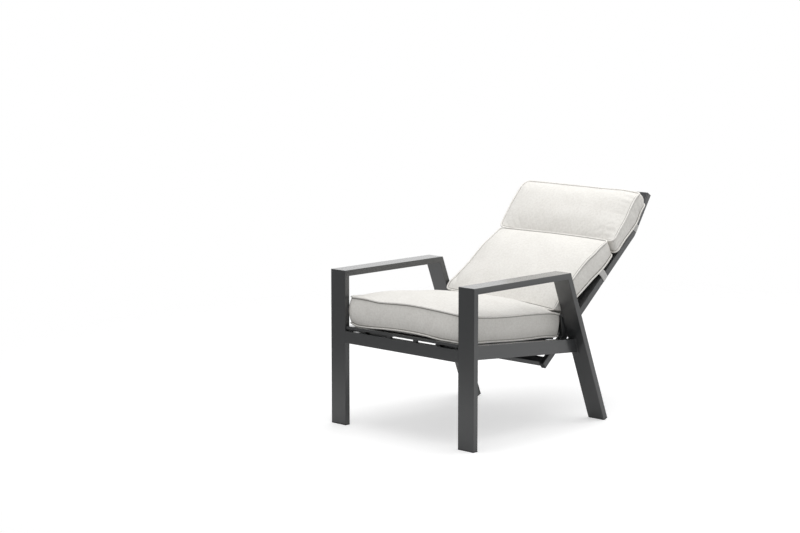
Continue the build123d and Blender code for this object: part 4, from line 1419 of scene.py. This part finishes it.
class ARMCHAIR_OT_stage(bpy.types.Operator):
    """Sets up the floor, the lights and the camera"""

    bl_idname = "armchair.stage"
    bl_label = "Stage"
    bl_options = {"REGISTER", "UNDO"}

    def execute(self, context):
        settings = context.scene.armchair_stage
        context.scene.view_settings.view_transform = "Standard"
        self.surround(context, settings)
        self.floor(settings)
        self.lamp("top_light", (0.2, 0.1, 3.2), (0, 0, 0.4), (3.4, 3.0), settings.top_power)
        self.lamp("side_light", (2.8, 2.9, 0.9), (0, 0, 0.4), (3.0, 2.0), settings.side_power)
        self.camera(context, settings)
        return {"FINISHED"}

    def surround(self, context, settings):
        """White for the camera. Reflections show it white behind the chair and darker in front
        and below, and everything else gets a softer even light."""
        world = bpy.data.worlds.new("surround")
        context.scene.world = world
        world.use_nodes = True
        tree = Tree(world.node_tree)
        shown, glossy = tree.rays()
        direction = tree.node("ShaderNodeTexCoord", output="Generated")
        depth = tree.node("ShaderNodeSeparateXYZ", None, {"Vector": direction}, output=1)
        height = Signal(tree, depth.socket.node.outputs["Z"])
        behind = tree.between(depth, -0.6, 0.6) * tree.between(height, -0.2, 0.02)
        dark, level = settings.front_level, settings.surround_level
        gloss = behind * (1.0 - dark) + dark
        rest = (shown + glossy) * -level + level
        strength = shown + glossy * gloss + rest
        sockets = {"Color": (1.0, 1.0, 1.0, 1.0), "Strength": strength}
        light = tree.node("ShaderNodeBackground", None, sockets)
        tree.node("ShaderNodeOutputWorld", None, {"Surface": light}, output=None)

    def floor(self, settings):
        """A pale floor that looks a little lighter to the camera and in reflections, and fades
        into the white surround far from the chair."""
        ends = ((-1, -1), (1, -1), (1, 1), (-1, 1))
        corners = [(x * FLOOR_REACH, y * FLOOR_REACH, 0) for x, y in ends]
        mesh = bpy.data.meshes.new("floor")
        mesh.from_pydata(corners, [], [(0, 1, 2, 3)])
        finish = Finish("pale_floor")
        place = finish.place()
        grain = finish.noise(place, 30.0, 2.0)
        base = finish.blend(grain, (0.65, 0.65, 0.65, 1.0), (0.68, 0.68, 0.68, 1.0))
        shown, glossy = finish.rays()
        glowing = shown + glossy * GLOSS_GLOW
        sockets = {
            "Base Color": base,
            "Roughness": 0.8,
            "Specular IOR Level": 0.2,
            "Emission Color": finish.blend(glowing, (0.0, 0.0, 0.0, 1.0), (1.0, 1.0, 1.0, 1.0)),
            "Emission Strength": settings.floor_glow,
        }
        solid = finish.node("ShaderNodeBsdfPrincipled", None, sockets)
        sockets = {0: place, 1: FADE_PLACE}
        distance = finish.node("ShaderNodeVectorMath", {"operation": "DISTANCE"}, sockets, 1)
        share = finish.between(distance, FADE_START, FADE_END)
        clear = finish.node("ShaderNodeBsdfTransparent")
        mixed = finish.node("ShaderNodeMixShader", None, {0: share, 1: solid, 2: clear})
        finish.node("ShaderNodeOutputMaterial", None, {"Surface": mixed}, output=None)
        mesh.materials.append(finish.material)
        stood("floor", mesh)

    def lamp(self, name, place, target, size, power):
        data = bpy.data.lights.new(name, "AREA")
        data.shape = "RECTANGLE"
        data.size, data.size_y = size
        data.energy = power
        self.aim(stood(name, data), place, Vector(target) - Vector(place))

    def camera(self, context, settings):
        data = bpy.data.cameras.new("camera")
        data.lens = settings.lens
        data.sensor_width = 36.0
        context.scene.camera = stood("camera", data)
        self.aim(context.scene.camera, settings.camera_place, -Vector(settings.camera_back))

    def aim(self, piece, place, toward):
        piece.location = place
        piece.rotation_euler = toward.to_track_quat("-Z", "Y").to_euler()


class ARMCHAIR_OT_side_frames(bpy.types.Operator):
    """Rounds and coats the legs, armrests and rails, and finishes the feet"""

    bl_idname = "armchair.side_frames"
    bl_label = "Side frames"
    bl_options = {"REGISTER", "UNDO"}

    def execute(self, context):
        radius = context.scene.armchair_frame.edge_radius
        tubes = {
            "front_leg": UPRIGHT,
            "armrest": LEVEL,
            "rear_leg": DOWN_LEG,
            "side_rail": DOWN_SEAT,
        }
        for side in ("left", "right"):
            for part, axis in tubes.items():
                rounded(f"{side}_{part}", METAL, radius, (axis,))
            rounded(f"{side}_rail_plate", METAL, radius / 2)
            rounded(f"{side}_front_foot", PLASTIC, radius / 2, (UPRIGHT,))
            rounded(f"{side}_rear_foot", PLASTIC, radius / 2, (DOWN_LEG,))
        rounded("front_rail", METAL, radius, (ACROSS,))
        return {"FINISHED"}


class ARMCHAIR_OT_seat_frame(bpy.types.Operator):
    """Rounds and coats the bars that carry the seat"""

    bl_idname = "armchair.seat_frame"
    bl_label = "Seat frame"
    bl_options = {"REGISTER", "UNDO"}

    def execute(self, context):
        radius = context.scene.armchair_frame.edge_radius
        for side in ("left", "right"):
            for part in ("seat_bearer", "seat_tube"):
                rounded(f"{side}_{part}", METAL, radius, (DOWN_SEAT,))
        for part in ("seat_front_bar", "seat_rear_bar", "rear_cross_rail", "spring_cross_tube"):
            rounded(part, METAL, radius, (ACROSS,))
        paint("coat", "left_bar_spacer", "right_bar_spacer")
        paint("zinc", "front_seat_bolts", "rear_seat_bolts")
        return {"FINISHED"}


class ARMCHAIR_OT_back_frame(bpy.types.Operator):
    """Rounds and coats the back's tubes and bars, and finishes its hinges"""

    bl_idname = "armchair.back_frame"
    bl_label = "Back frame"
    bl_options = {"REGISTER", "UNDO"}

    def execute(self, context):
        radius = context.scene.armchair_frame.edge_radius
        for side in ("left", "right"):
            rounded(f"{side}_back_tube", METAL, radius * 0.8, (UP_BACK, UP_HEAD))
            rounded(f"{side}_hinge_plate", METAL, radius / 2)
            rounded(f"{side}_back_cap", PLASTIC, radius / 2, (UP_BACK, UP_HEAD))
        for part in ("back_top_bar", "back_lower_bar", "back_middle_bar"):
            rounded(part, METAL, radius, (ACROSS,))
        paint("zinc", "pivot_pins", "pivot_washers")
        paint("bearing", "pivot_bushes")
        return {"FINISHED"}


class ARMCHAIR_OT_slings(bpy.types.Operator):
    """Stretches the seat sling and the back sling in their frames"""

    bl_idname = "armchair.slings"
    bl_label = "Slings"
    bl_options = {"REGISTER", "UNDO"}

    def execute(self, context):
        seat_sling()
        back_sling()
        return {"FINISHED"}


class ARMCHAIR_OT_gas_spring(bpy.types.Operator):
    """Finishes the lockable gas spring and its brackets"""

    bl_idname = "armchair.gas_spring"
    bl_label = "Gas spring"
    bl_options = {"REGISTER", "UNDO"}

    def execute(self, context):
        radius = context.scene.armchair_frame.edge_radius
        for part in ("spring_front_bracket", "spring_clevis"):
            rounded(part, METAL, radius / 2)
        paint("ground", "gas_spring_rod")
        paint("zinc", "release_head", "release_pin", "spring_clevis_pin", "spring_front_studs")
        paint("black", "gas_spring_cylinder", "gas_spring_eye")
        return {"FINISHED"}


class ARMCHAIR_OT_release_lever(bpy.types.Operator):
    """Finishes the release lever and its grip"""

    bl_idname = "armchair.release_lever"
    bl_label = "Release lever"
    bl_options = {"REGISTER", "UNDO"}

    def execute(self, context):
        paint("black", "release_lever", "release_finger")
        paint("grip", "lever_grip")
        paint("bearing", "lever_bush")
        return {"FINISHED"}


class ARMCHAIR_OT_cushions(bpy.types.Operator):
    """Sews, fills and pipes the three cushions"""

    bl_idname = "armchair.cushions"
    bl_label = "Cushions"
    bl_options = {"REGISTER", "UNDO"}

    def execute(self, context):
        seat_cushion()
        back_cushion()
        head_cushion()
        return {"FINISHED"}


class ARMCHAIR_OT_straps(bpy.types.Operator):
    """Runs the elastic straps from the cushions round the back tubes"""

    bl_idname = "armchair.straps"
    bl_label = "Straps"
    bl_options = {"REGISTER", "UNDO"}

    def execute(self, context):
        strap("back_strap_band", "back_strap", back_place, center=-237.0, reach=44.0, seam_x=277.0)
        strap("head_strap_band", "head_strap", head_place, center=30.0, reach=33.5, seam_x=288.5)
        return {"FINISHED"}


BUILD_ORDER = (
    ARMCHAIR_OT_stage,
    ARMCHAIR_OT_side_frames,
    ARMCHAIR_OT_seat_frame,
    ARMCHAIR_OT_back_frame,
    ARMCHAIR_OT_slings,
    ARMCHAIR_OT_gas_spring,
    ARMCHAIR_OT_release_lever,
    ARMCHAIR_OT_cushions,
    ARMCHAIR_OT_straps,
)


class ARMCHAIR_PT_panel(bpy.types.Panel):
    """The chair's pieces, in the order in which they are made"""

    bl_idname = "ARMCHAIR_PT_panel"
    bl_label = "Armchair"
    bl_space_type = "VIEW_3D"
    bl_region_type = "UI"
    bl_category = "Armchair"

    def draw(self, context):
        for group in ("armchair_frame", "armchair_cushions", "armchair_stage"):
            settings = getattr(context.scene, group)
            box = self.layout.box()
            for name in settings.__annotations__:
                box.prop(settings, name)
        for step in BUILD_ORDER:
            self.layout.operator(step.bl_idname)


SETTINGS = {
    "armchair_frame": FrameSettings,
    "armchair_cushions": CushionSettings,
    "armchair_stage": StageSettings,
}


def register():
    for name, kind in SETTINGS.items():
        bpy.utils.register_class(kind)
        setattr(bpy.types.Scene, name, bpy.props.PointerProperty(type=kind))
    for kind in (*BUILD_ORDER, ARMCHAIR_PT_panel):
        bpy.utils.register_class(kind)


def unregister():
    for kind in (ARMCHAIR_PT_panel, *reversed(BUILD_ORDER)):
        bpy.utils.unregister_class(kind)
    for name, kind in SETTINGS.items():
        delattr(bpy.types.Scene, name)
        bpy.utils.unregister_class(kind)


def main():
    register()
    for step in BUILD_ORDER:
        family, action = step.bl_idname.split(".")
        getattr(getattr(bpy.ops, family), action)()


if __name__ == "__main__":
    main()
